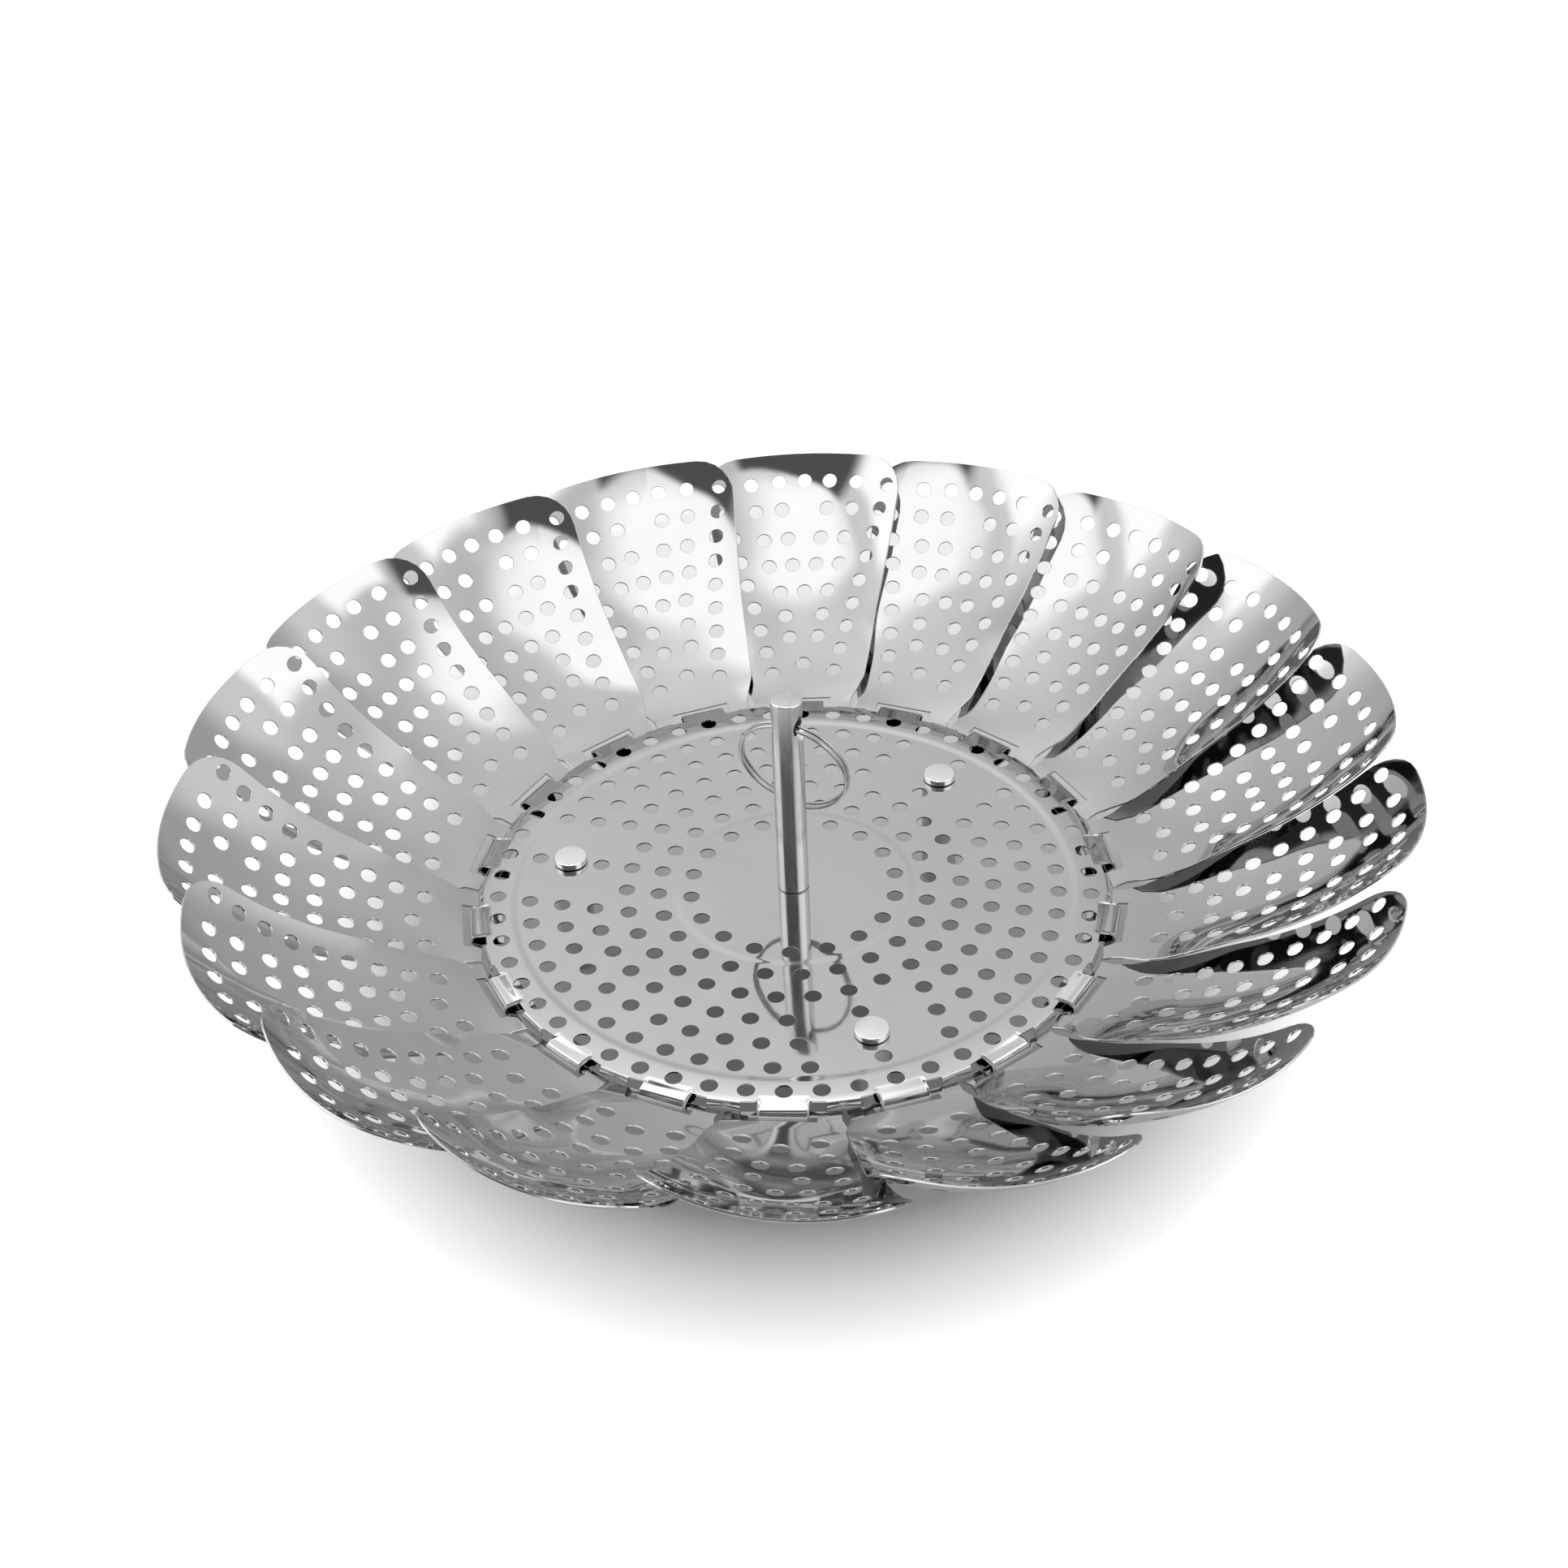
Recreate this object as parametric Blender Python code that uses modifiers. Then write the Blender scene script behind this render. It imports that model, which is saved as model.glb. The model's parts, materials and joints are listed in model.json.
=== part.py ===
"""Folding steamer basket in sheet steel: a perforated base plate on three riveted feet, eighteen cupped
petals that fold on tabs of the plate, and a centre post with a lifting ring.

The origin is on the surface that the basket stands on, under the middle of the plate, with +Z up.
Azimuths are counter-clockwise from +X. The petals are modelled open, as they rest on their stops.
"""
import math

import bmesh
import bpy
from mathutils import Matrix, Vector

MM = 0.001

# Driving dimensions of the plate and its feet
FOOT_HEIGHT = 25.0 * MM
PLATE_SHEET = 0.4 * MM
HOLE_DIAMETER = 3.2 * MM
INNER_RING_RADIUS = 20.0 * MM
RING_PITCH = 6.25 * MM
RING_COUNT = 7
INNER_RING_HOLES = 18
HOLES_ADDED_PER_RING = 6
DISC_STEP = 0.3 * MM
RIM_STEP = 0.4 * MM
STEP_WIDTH = 0.8 * MM
STEP_SIDES = 36
HOLE_SIDES = 6

# Driving dimensions of the hinges
PETAL_COUNT = 18
FIRST_AZIMUTH = -90.0
RIM_MARGIN = 4.2 * MM
CURL_RADIUS = 1.5 * MM
CURL_STEPS = 6
TAB_WIDTH = 9.1 * MM
TAB_TAIL = 5.0 * MM
NOTCH_DEPTH = 1.75 * MM
LIP_WIDTH = 6.0 * MM
LIP_BEND = 0.6 * MM
LIP_DROP = 1.2 * MM
LIP_STEPS = 1
HINGE_CLEARANCE = 0.3 * MM

# Driving dimensions of a petal, measured along its sheet from the hinge line
PETAL_SHEET = 0.4 * MM
PETAL_LENGTH = 64.5 * MM
ROOT_GAP = 0.96 * MM
FLARE_START = 2.0 * MM
FLARE_END = 8.0 * MM
FLARE_SPREAD = 3.0 * MM
TIP_OVERLAP = 2.75 * MM
RIM_SAGITTA = 3.4 * MM
CORNER_RADIUS = 9.0 * MM
SLOT_SIDE_GAP = 1.5 * MM
SLOT_END_GAP = 1.25 * MM
PETAL_OPENING = 5.0 * MM
CUP_RADIUS = 47.0 * MM
CUP_START = 3.0 * MM
CUP_END = 26.0 * MM
TWIST_START = 3.0 * MM
ROOT_SLOPE = math.radians(14.4)
TIP_SLOPE = math.radians(51.9)
SLOPE_POWER = 1.33
ROOT_TILT = 0.07
TIP_TILT = 0.115
PRESS_STEPS = 32

# Driving dimensions of the centre post and what holds it
POST_DIAMETER = 6.0 * MM
POST_HEIGHT = 44.0 * MM
POST_CHAMFER = 0.4 * MM
CROSS_HOLE_DIAMETER = 4.0 * MM
CROSS_HOLE_DEPTH = 5.6 * MM
CROSS_HOLE_AZIMUTH = -20.5
STUD_DIAMETER = 4.0 * MM
STUD_CLEARANCE = 0.35 * MM
STUD_END = 1.6 * MM
STUD_CHAMFER = 0.4 * MM
WASHER_DIAMETER = 10.0 * MM
WASHER_THICKNESS = 0.8 * MM
NUT_ACROSS_FLATS = 7.0 * MM
NUT_HEIGHT = 3.2 * MM

# Driving dimensions of the lifting ring
WIRE_DIAMETER = 0.7 * MM
LIFTING_RING_RADIUS = 10.8 * MM
RING_TURNS = 2
TURN_PITCH = 1.15 * MM
POINT_COUNT_PER_TURN = 24

# Driving dimensions of a foot and its rivet
FOOT_RING_NUMBER = 5
FOOT_COUNT = 3
FOOT_AZIMUTH = -70.0
FOOT_DIAMETER = 7.0 * MM
FOOT_ROUNDING = 1.2 * MM
RIVET_HEAD_DIAMETER = 6.5 * MM
RIVET_HEAD_HEIGHT = 1.3 * MM
RIVET_EDGE = 0.25 * MM
SHANK_DIAMETER = 3.0 * MM
SHANK_CLEARANCE = 0.35 * MM
SHANK_DEPTH = 5.0 * MM
BORE_END_GAP = 1.0 * MM

# Fits shared by pieces that rest on each other
SEAT_GAP = 0.3 * MM
OVERRUN = 2.0 * MM
TURN_STEPS = 20
MERGE_DISTANCE = 0.002 * MM
SHARP_ANGLE = math.radians(35.0)

# Share of the cross hole's radius by which the ring hangs below the hole's middle
PIVOT_DROP_SHARE = 0.3

# Shares of the petal's length and half width at which its blank is divided, past its flared root and at its tip
ROW_SHARES = (0.31, 0.512, 0.729)
COLUMN_SHARES = (-1.0, -0.6, -0.2, 0.2, 0.6, 1.0)
TIP_COLUMN_SHARES = (-1.0, -0.76, -0.26, 0.26, 0.76, 1.0)

# Grid of openings in a petal, each row as a share of its length and the shares of its half width there
OPENING_SHARES = (
    (0.82, (-0.74, -0.38, 0.0, 0.38, 0.74)),
    (0.61, (-0.76, -0.4, 0.0, 0.4, 0.76)),
    (0.41, (-0.4, 0.0, 0.4)),
    (0.217, (0.0,)),
)

# Heights and angles that follow from the driving dimensions
FIELD_TOP = FOOT_HEIGHT + PLATE_SHEET
DISC_TOP = FIELD_TOP + DISC_STEP
RIM_TOP = FIELD_TOP + RIM_STEP
HINGE_HEIGHT = RIM_TOP - CURL_RADIUS
PIVOT_HEIGHT = DISC_TOP + POST_HEIGHT - CROSS_HOLE_DEPTH - PIVOT_DROP_SHARE * CROSS_HOLE_DIAMETER / 2
POST_TOP = DISC_TOP + POST_HEIGHT
WASHER_TOP = DISC_TOP - PLATE_SHEET - SEAT_GAP
NUT_TOP = WASHER_TOP - WASHER_THICKNESS - SEAT_GAP
STUD_BOTTOM = NUT_TOP - NUT_HEIGHT - STUD_END
SECTOR = 360.0 / PETAL_COUNT
HALF_SECTOR = math.radians(SECTOR / 2)


def hole_ring_radius(ring):
    """Radius of a ring of plate holes, counted from the innermost as 1."""
    return INNER_RING_RADIUS + RING_PITCH * (ring - 1)


# Radii that follow from the rings of holes
DISC_RADIUS = (hole_ring_radius(1) + hole_ring_radius(2)) / 2
RIM_RADIUS = (hole_ring_radius(RING_COUNT - 1) + hole_ring_radius(RING_COUNT)) / 2
FOOT_RADIUS = hole_ring_radius(FOOT_RING_NUMBER)
HINGE_RADIUS = hole_ring_radius(RING_COUNT) + RIM_MARGIN
NOTCH_RADIUS = HINGE_RADIUS - NOTCH_DEPTH

# Widths of a petal that follow from the plate: its pin strip turns in the tab's curl, its root ends beside
# the next petal's, and its tip passes over the next petal's
CURL_ROOM = (CURL_RADIUS - PLATE_SHEET) * math.cos(math.pi / CURL_STEPS / 2) - HINGE_CLEARANCE
STRIP_HALF_WIDTH = math.sqrt(CURL_ROOM ** 2 - (PETAL_SHEET / 2) ** 2)
ROOT_HALF_WIDTH = HINGE_RADIUS * math.tan(HALF_SECTOR) - ROOT_GAP / 2
FLARE_HALF_WIDTH = ROOT_HALF_WIDTH + FLARE_SPREAD
TIP_HALF_WIDTH = (HINGE_RADIUS + PETAL_LENGTH) * math.tan(HALF_SECTOR) + TIP_OVERLAP
SLOT_END = CURL_RADIUS + SLOT_END_GAP
LIP_FACE_RADIUS = (
    (HINGE_RADIUS - STRIP_HALF_WIDTH - HINGE_CLEARANCE - LIP_WIDTH / 2 * math.sin(HALF_SECTOR))
    / math.cos(HALF_SECTOR)
)
LIP_FOLD_RADIUS = LIP_FACE_RADIUS - LIP_BEND

# The ring's lean behind the post, at which its lowest turn rests on the post
RING_HALF_DEPTH = (RING_TURNS * TURN_PITCH + WIRE_DIAMETER) / 2
RING_LEAN = math.asin((POST_DIAMETER / 2 + RING_HALF_DEPTH + SEAT_GAP) / (2 * LIFTING_RING_RADIUS))


def clear_scene():
    """Remove every object that the file holds."""
    for thing in list(bpy.data.objects):
        bpy.data.objects.remove(thing, do_unlink=True)


def make_collection(name):
    collection = bpy.data.collections.new(name)
    bpy.context.scene.collection.children.link(collection)
    return collection


def make_material(name, colour, roughness):
    """A bare metal with the given base colour and roughness."""
    material = bpy.data.materials.new(name)
    material.use_nodes = True
    shader = material.node_tree.nodes["Principled BSDF"]
    shader.inputs["Base Color"].default_value = (*colour, 1.0)
    shader.inputs["Roughness"].default_value = roughness
    shader.inputs["Metallic"].default_value = 1.0
    return material


def add_object(name, mesh, collection, material=None):
    """Put a mesh in the scene under the given name."""
    thing = bpy.data.objects.new(name, mesh)
    collection.objects.link(thing)
    if material is not None:
        mesh.materials.clear()
        mesh.materials.append(material)
    return thing


def mesh_from(bm, name):
    mesh = bpy.data.meshes.new(name)
    bm.to_mesh(mesh)
    bm.free()
    return mesh


def shade(thing):
    """Smooth shading with sharp folds kept."""
    thing.data.shade_smooth()
    thing.data.set_sharp_from_angle(angle=SHARP_ANGLE)


def spoke(radius, azimuth, height=0.0):
    """A point at a radius and an azimuth in degrees."""
    angle = math.radians(azimuth)
    return Vector((radius * math.cos(angle), radius * math.sin(angle), height))


def in_sector(azimuth, out, across, height):
    """A point given along and across a spoke of the plate."""
    return Matrix.Rotation(math.radians(azimuth), 3, "Z") @ Vector((out, across, height))


def turned(name, profile, collection, material, steps=TURN_STEPS, closed=False):
    """A body turned from a profile of radius and height, which runs down its outer side."""
    bm = bmesh.new()
    corners = [bm.verts.new((radius, 0.0, height)) for radius, height in profile]
    for first, second in zip(corners, corners[1:]):
        bm.edges.new((first, second))
    if closed:
        bm.edges.new((corners[-1], corners[0]))
    thing = add_object(name, mesh_from(bm, name), collection, material)
    screw = thing.modifiers.new("turning", "SCREW")
    screw.axis = "Z"
    screw.angle = math.tau
    screw.steps = steps
    screw.render_steps = steps
    screw.use_merge_vertices = True
    screw.merge_threshold = MERGE_DISTANCE
    screw.use_smooth_shade = False
    return thing


def cut(thing, cutter):
    """Cut one closed body out of another."""
    cutter.hide_render = True
    cutter.display_type = "WIRE"
    boolean = thing.modifiers.new("cut_" + cutter.name, "BOOLEAN")
    boolean.operation = "DIFFERENCE"
    boolean.solver = "EXACT"
    boolean.object = cutter


def baked(thing, name):
    """The mesh of an object with its modifiers applied."""
    graph = bpy.context.evaluated_depsgraph_get()
    mesh = bpy.data.meshes.new_from_object(thing.evaluated_get(graph))
    mesh.name = name
    return mesh


def loop_edges(bm, points):
    """A closed loop of edges through the points."""
    corners = [bm.verts.new(point) for point in points]
    return [bm.edges.new((corners[i - 1], corners[i])) for i in range(len(corners))]


def circle_points(radius, height, count, azimuth=0.0):
    return [spoke(radius, azimuth + 360.0 * i / count, height) for i in range(count)]


def hole_azimuths(ring):
    """Azimuths of a ring's holes, with the ones that a foot's rivet takes left out."""
    count = INNER_RING_HOLES + HOLES_ADDED_PER_RING * (ring - 1)
    pitch = 360.0 / count
    foot_pitch = 360.0 / FOOT_COUNT
    kept = []
    for i in range(count):
        azimuth = FOOT_AZIMUTH + pitch * i
        share_of_turn = (azimuth - FOOT_AZIMUTH) / foot_pitch
        from_foot = (share_of_turn - round(share_of_turn)) * foot_pitch
        on_spoke = abs(from_foot) < pitch / 2
        beside = abs(from_foot) < pitch * 3 / 2
        taken_by_rivet = ring == FOOT_RING_NUMBER and beside
        taken_beside_head = abs(ring - FOOT_RING_NUMBER) == 1 and beside and not on_spoke
        if not taken_by_rivet and not taken_beside_head:
            kept.append(azimuth)
    return kept


def fill_flat(bm, edges):
    """Fill the flat region between closed loops, in millimetres because the fill drops shorter edges."""
    corners = list({corner for edge in edges for corner in edge.verts})
    for corner in corners:
        corner.co /= MM
    bmesh.ops.triangle_fill(bm, use_beauty=True, use_dissolve=False, edges=edges, normal=(0.0, 0.0, 1.0))
    for corner in corners:
        corner.co *= MM


def fill_region(bm, outer, inner, height, rings, extra_holes=()):
    """Fill the flat sheet between two loops, with its rings of holes, and return the loops' edges."""
    outer_edges = loop_edges(bm, outer)
    inner_edges = loop_edges(bm, inner)
    edges = outer_edges + inner_edges
    for ring in rings:
        for azimuth in hole_azimuths(ring):
            centre = spoke(hole_ring_radius(ring), azimuth, height)
            corners = circle_points(HOLE_DIAMETER / 2, 0.0, HOLE_SIDES, azimuth)
            edges += loop_edges(bm, [centre + corner for corner in corners])
    for hole in extra_holes:
        edges += loop_edges(bm, hole)
    fill_flat(bm, edges)
    return outer_edges, inner_edges


def rim_outline():
    """The plate's edge: a fold line for each tab with a notch on each side, and one for each lip."""
    points = []
    tabs = []
    lips = []
    lip_root = (NOTCH_RADIUS - LIP_WIDTH / 2 * math.sin(HALF_SECTOR)) / math.cos(HALF_SECTOR)
    for i in range(PETAL_COUNT):
        azimuth = FIRST_AZIMUTH + SECTOR * i
        between = azimuth + SECTOR / 2
        points.append(in_sector(azimuth, NOTCH_RADIUS, -TAB_WIDTH / 2, RIM_TOP))
        tabs.append(len(points))
        points.append(in_sector(azimuth, HINGE_RADIUS, -TAB_WIDTH / 2, RIM_TOP))
        points.append(in_sector(azimuth, HINGE_RADIUS, TAB_WIDTH / 2, RIM_TOP))
        points.append(in_sector(azimuth, NOTCH_RADIUS, TAB_WIDTH / 2, RIM_TOP))
        points.append(in_sector(between, lip_root, -LIP_WIDTH / 2, RIM_TOP))
        lips.append(len(points))
        points.append(in_sector(between, LIP_FOLD_RADIUS, -LIP_WIDTH / 2, RIM_TOP))
        points.append(in_sector(between, LIP_FOLD_RADIUS, LIP_WIDTH / 2, RIM_TOP))
        points.append(in_sector(between, lip_root, LIP_WIDTH / 2, RIM_TOP))
    return points, tabs, lips


def bend_edge(bm, edge, azimuth, line_radius, bend, angle, steps, tail):
    """Bend the sheet down from a fold line, then run it straight on."""
    centre = in_sector(azimuth, line_radius, 0.0, RIM_TOP - bend)
    axis = in_sector(azimuth, 0.0, 1.0, 0.0)
    spun = bmesh.ops.spin(bm, geom=[edge, *edge.verts], cent=centre, axis=axis, angle=angle, steps=steps)
    last = [item for item in spun["geom_last"] if isinstance(item, bmesh.types.BMEdge)]
    run = bmesh.ops.extrude_edge_only(bm, edges=last)
    ends = [item for item in run["geom"] if isinstance(item, bmesh.types.BMVert)]
    heading = Matrix.Rotation(angle, 3, axis) @ in_sector(azimuth, 1.0, 0.0, 0.0)
    bmesh.ops.translate(bm, verts=ends, vec=heading * tail)


def base_plate(collection, material):
    """The perforated plate with its raised disc, raised rim, tabs and lips, as one pressed sheet."""
    bm = bmesh.new()
    half_step = STEP_WIDTH / 2
    outline, tabs, lips = rim_outline()
    rim_inner = circle_points(RIM_RADIUS + half_step, RIM_TOP, STEP_SIDES)
    rim_edges, rim_loop = fill_region(bm, outline, rim_inner, RIM_TOP, [RING_COUNT])
    rivet_holes = [
        [spoke(FOOT_RADIUS, FOOT_AZIMUTH + 360.0 / FOOT_COUNT * i, FIELD_TOP) + corner
         for corner in circle_points(SHANK_DIAMETER / 2 + SHANK_CLEARANCE, 0.0, TURN_STEPS // 2)]
        for i in range(FOOT_COUNT)
    ]
    field_outer = circle_points(RIM_RADIUS - half_step, FIELD_TOP, STEP_SIDES)
    field_inner = circle_points(DISC_RADIUS + half_step, FIELD_TOP, STEP_SIDES)
    field_rings = range(2, RING_COUNT)
    outer_loop, inner_loop = fill_region(bm, field_outer, field_inner, FIELD_TOP, field_rings, rivet_holes)
    disc_outer = circle_points(DISC_RADIUS - half_step, DISC_TOP, STEP_SIDES)
    stud_hole = circle_points(STUD_DIAMETER / 2 + STUD_CLEARANCE, DISC_TOP, TURN_STEPS // 2)
    disc_loop, _ = fill_region(bm, disc_outer, stud_hole, DISC_TOP, [1])
    bmesh.ops.bridge_loops(bm, edges=rim_loop + outer_loop)
    bmesh.ops.bridge_loops(bm, edges=inner_loop + disc_loop)
    for i in range(PETAL_COUNT):
        azimuth = FIRST_AZIMUTH + SECTOR * i
        tab_fold = rim_edges[tabs[i] + 1]
        lip_fold = rim_edges[lips[i] + 1]
        bend_edge(bm, tab_fold, azimuth, HINGE_RADIUS, CURL_RADIUS, math.pi, CURL_STEPS, TAB_TAIL)
        between = azimuth + SECTOR / 2
        bend_edge(bm, lip_fold, between, LIP_FOLD_RADIUS, LIP_BEND, math.pi / 2, LIP_STEPS, LIP_DROP)
    bmesh.ops.remove_doubles(bm, verts=bm.verts[:], dist=MERGE_DISTANCE)
    bmesh.ops.recalc_face_normals(bm, faces=bm.faces[:])
    highest = max(bm.faces, key=lambda face: face.calc_center_median().z)
    if highest.normal.z < 0.0:
        bmesh.ops.reverse_faces(bm, faces=bm.faces[:])
    plate = add_object("base_plate", mesh_from(bm, "base_plate"), collection, material)
    wall = plate.modifiers.new("sheet", "SOLIDIFY")
    wall.thickness = PLATE_SHEET
    wall.offset = -1.0
    wall.use_even_offset = True
    shade(plate)
    return plate


def slope_at(along):
    """Slope of the petal's middle line at a distance from the hinge."""
    share = max(along, 0.0) / PETAL_LENGTH
    return ROOT_SLOPE + (TIP_SLOPE - ROOT_SLOPE) * share ** SLOPE_POWER


def middle_line(along):
    """Place of the petal's middle line, out from the hinge and up, with its slope there."""
    out = min(along, 0.0) * math.cos(ROOT_SLOPE)
    up = min(along, 0.0) * math.sin(ROOT_SLOPE)
    step = max(along, 0.0) / PRESS_STEPS
    for i in range(PRESS_STEPS):
        slope = slope_at(step * (i + 0.5))
        out += step * math.cos(slope)
        up += step * math.sin(slope)
    return out, up, slope_at(along)


def ease(share):
    """A smooth rise from 0 to 1."""
    share = min(max(share, 0.0), 1.0)
    return share * share * (3.0 - 2.0 * share)


def pressed(along, across, through):
    """Where a point of the flat blank goes when the petal is pressed, seen from its hinge.

    The sheet bends up along its length, cups across its width past the hinge, and tilts so that its
    clockwise edge, at negative across, lies on the next petal.
    """
    out, up, slope = middle_line(along)
    cup = ease((along - CUP_START) / (CUP_END - CUP_START)) / CUP_RADIUS
    tilt = ROOT_TILT * ease(along / TWIST_START) + (TIP_TILT - ROOT_TILT) * max(along, 0.0) / PETAL_LENGTH
    turn = across * cup
    if cup > 0.0:
        side = math.sin(turn) / cup
        rise = (1.0 - math.cos(turn)) / cup
    else:
        side = across
        rise = 0.0
    side -= through * math.sin(turn)
    rise += through * math.cos(turn)
    leaned_side = side * math.cos(tilt) + rise * math.sin(tilt)
    leaned_rise = rise * math.cos(tilt) - side * math.sin(tilt)
    return Vector((out - math.sin(slope) * leaned_rise, leaned_side, up + math.cos(slope) * leaned_rise))


def half_width(along):
    """Half the width of the flat blank at a distance from the hinge."""
    if along < FLARE_START:
        return ROOT_HALF_WIDTH
    if along < FLARE_END:
        share = (along - FLARE_START) / (FLARE_END - FLARE_START)
        return ROOT_HALF_WIDTH + (FLARE_HALF_WIDTH - ROOT_HALF_WIDTH) * share
    share = (along - FLARE_END) / (PETAL_LENGTH - FLARE_END)
    return FLARE_HALF_WIDTH + (TIP_HALF_WIDTH - FLARE_HALF_WIDTH) * share


def tip_along(share):
    """Length of the blank at a share of its half width: an arched rim with rounded corners."""
    across = abs(share) * TIP_HALF_WIDTH
    corner = max(across - (TIP_HALF_WIDTH - CORNER_RADIUS), 0.0) / CORNER_RADIUS
    rounding = CORNER_RADIUS * (1.0 - math.sqrt(1.0 - min(corner, 1.0) ** 2))
    return PETAL_LENGTH - RIM_SAGITTA * share * share - rounding


def petal_mesh(collection):
    """One petal: a flat blank is punched, then pressed to shape about its hinge line."""
    rows = [-STRIP_HALF_WIDTH, FLARE_START, FLARE_END] + [share * PETAL_LENGTH for share in ROW_SHARES]
    bm = bmesh.new()
    columns = len(COLUMN_SHARES)
    bmesh.ops.create_grid(bm, x_segments=columns - 1, y_segments=len(rows), size=1.0)
    ordered = sorted(bm.verts, key=lambda corner: (round(corner.co.y * len(rows)), corner.co.x))
    for i, corner in enumerate(ordered):
        row = i // columns
        if row < len(rows):
            share = COLUMN_SHARES[i % columns]
            along = rows[row]
        else:
            share = TIP_COLUMN_SHARES[i % columns]
            along = tip_along(share)
        corner.co = Vector((along, share * half_width(along), 0.0))
    bmesh.ops.recalc_face_normals(bm, faces=bm.faces[:])
    blank = add_object("petal_blank", mesh_from(bm, "petal_blank"), collection)
    wall = blank.modifiers.new("sheet", "SOLIDIFY")
    wall.thickness = PETAL_SHEET
    wall.offset = 0.0
    punch = bmesh.new()
    slot_start = STRIP_HALF_WIDTH
    slot_length = SLOT_END - slot_start
    slot_place = Matrix.Translation((slot_start + slot_length / 2, 0.0, 0.0))
    slot_size = Matrix.Diagonal((slot_length, TAB_WIDTH + SLOT_SIDE_GAP * 2, OVERRUN, 1.0))
    bmesh.ops.create_cube(punch, size=1.0, matrix=slot_place @ slot_size)
    opening_size = Matrix.Diagonal((PETAL_OPENING, PETAL_OPENING, OVERRUN, 1.0))
    for row_share, across_shares in OPENING_SHARES:
        along = row_share * PETAL_LENGTH
        for across_share in across_shares:
            place = Matrix.Translation((along, across_share * half_width(along), 0.0))
            bmesh.ops.create_cube(punch, size=1.0, matrix=place @ opening_size)
    cutter = add_object("petal_punch", mesh_from(punch, "petal_punch"), collection)
    cut(blank, cutter)
    punched = baked(blank, "petal_punched")
    bm = bmesh.new()
    bm.from_mesh(punched)
    bmesh.ops.triangulate(bm, faces=bm.faces[:])
    for corner in bm.verts:
        corner.co = pressed(*corner.co)
    bpy.data.objects.remove(blank, do_unlink=True)
    return mesh_from(bm, "petal")


def petals(parts, cutters, material):
    """Eighteen petals on the hinge lines of the plate's tabs, with their origins on those lines."""
    shape = petal_mesh(cutters)
    for i in range(PETAL_COUNT):
        azimuth = FIRST_AZIMUTH + SECTOR * i
        petal = add_object(f"petal_{i + 1:02d}", shape, parts, material)
        petal.location = spoke(HINGE_RADIUS, azimuth, HINGE_HEIGHT)
        petal.rotation_euler.z = math.radians(azimuth)
        shade(petal)


def centre_post(parts, cutters, material):
    """A rod that seats on the raised disc, with a stud through the plate and a cross hole near its top."""
    seat = DISC_TOP + SEAT_GAP
    radius = POST_DIAMETER / 2
    stud = STUD_DIAMETER / 2
    profile = (
        (0.0, POST_TOP), (radius - POST_CHAMFER, POST_TOP), (radius, POST_TOP - POST_CHAMFER),
        (radius, seat), (stud, seat),
        (stud, STUD_BOTTOM + STUD_CHAMFER), (stud - STUD_CHAMFER, STUD_BOTTOM), (0.0, STUD_BOTTOM),
    )
    post = turned("centre_post", profile, parts, material)
    bm = bmesh.new()
    bmesh.ops.create_cone(bm, cap_ends=True, segments=TURN_STEPS, radius1=CROSS_HOLE_DIAMETER / 2,
                          radius2=CROSS_HOLE_DIAMETER / 2, depth=POST_DIAMETER + OVERRUN)
    drill = add_object("cross_hole", mesh_from(bm, "cross_hole"), cutters)
    drill.location.z = POST_TOP - CROSS_HOLE_DEPTH
    drill.rotation_euler = (0.0, math.pi / 2, math.radians(CROSS_HOLE_AZIMUTH))
    cut(post, drill)


def post_fixings(parts, washer_material, nut_material):
    """The washer and hexagon nut that hold the post from below."""
    hole = STUD_DIAMETER / 2 + STUD_CLEARANCE
    bottom = WASHER_TOP - WASHER_THICKNESS
    outer = WASHER_DIAMETER / 2
    profile = ((outer, WASHER_TOP), (outer, bottom), (hole, bottom), (hole, WASHER_TOP))
    turned("post_washer", profile, parts, washer_material, closed=True)
    corner = NUT_ACROSS_FLATS / math.sqrt(3.0)
    bm = bmesh.new()
    for height in (NUT_TOP, NUT_TOP - NUT_HEIGHT):
        outer_edges = loop_edges(bm, circle_points(corner, height, 6))
        inner_edges = loop_edges(bm, circle_points(hole, height, TURN_STEPS // 2))
        fill_flat(bm, outer_edges + inner_edges)
        if height == NUT_TOP:
            top_outer, top_inner = outer_edges, inner_edges
    bmesh.ops.bridge_loops(bm, edges=top_outer + outer_edges)
    bmesh.ops.bridge_loops(bm, edges=top_inner + inner_edges)
    bmesh.ops.recalc_face_normals(bm, faces=bm.faces[:])
    shade(add_object("post_nut", mesh_from(bm, "post_nut"), parts, nut_material))


def wire_gap(points):
    """Least gap between the ring's turns, measured between points at least half a turn apart."""
    half_turn = POINT_COUNT_PER_TURN // 2
    spans = [(first - second).length for i, first in enumerate(points) for second in points[i + half_turn:]]
    return min(spans) - WIRE_DIAMETER


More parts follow.
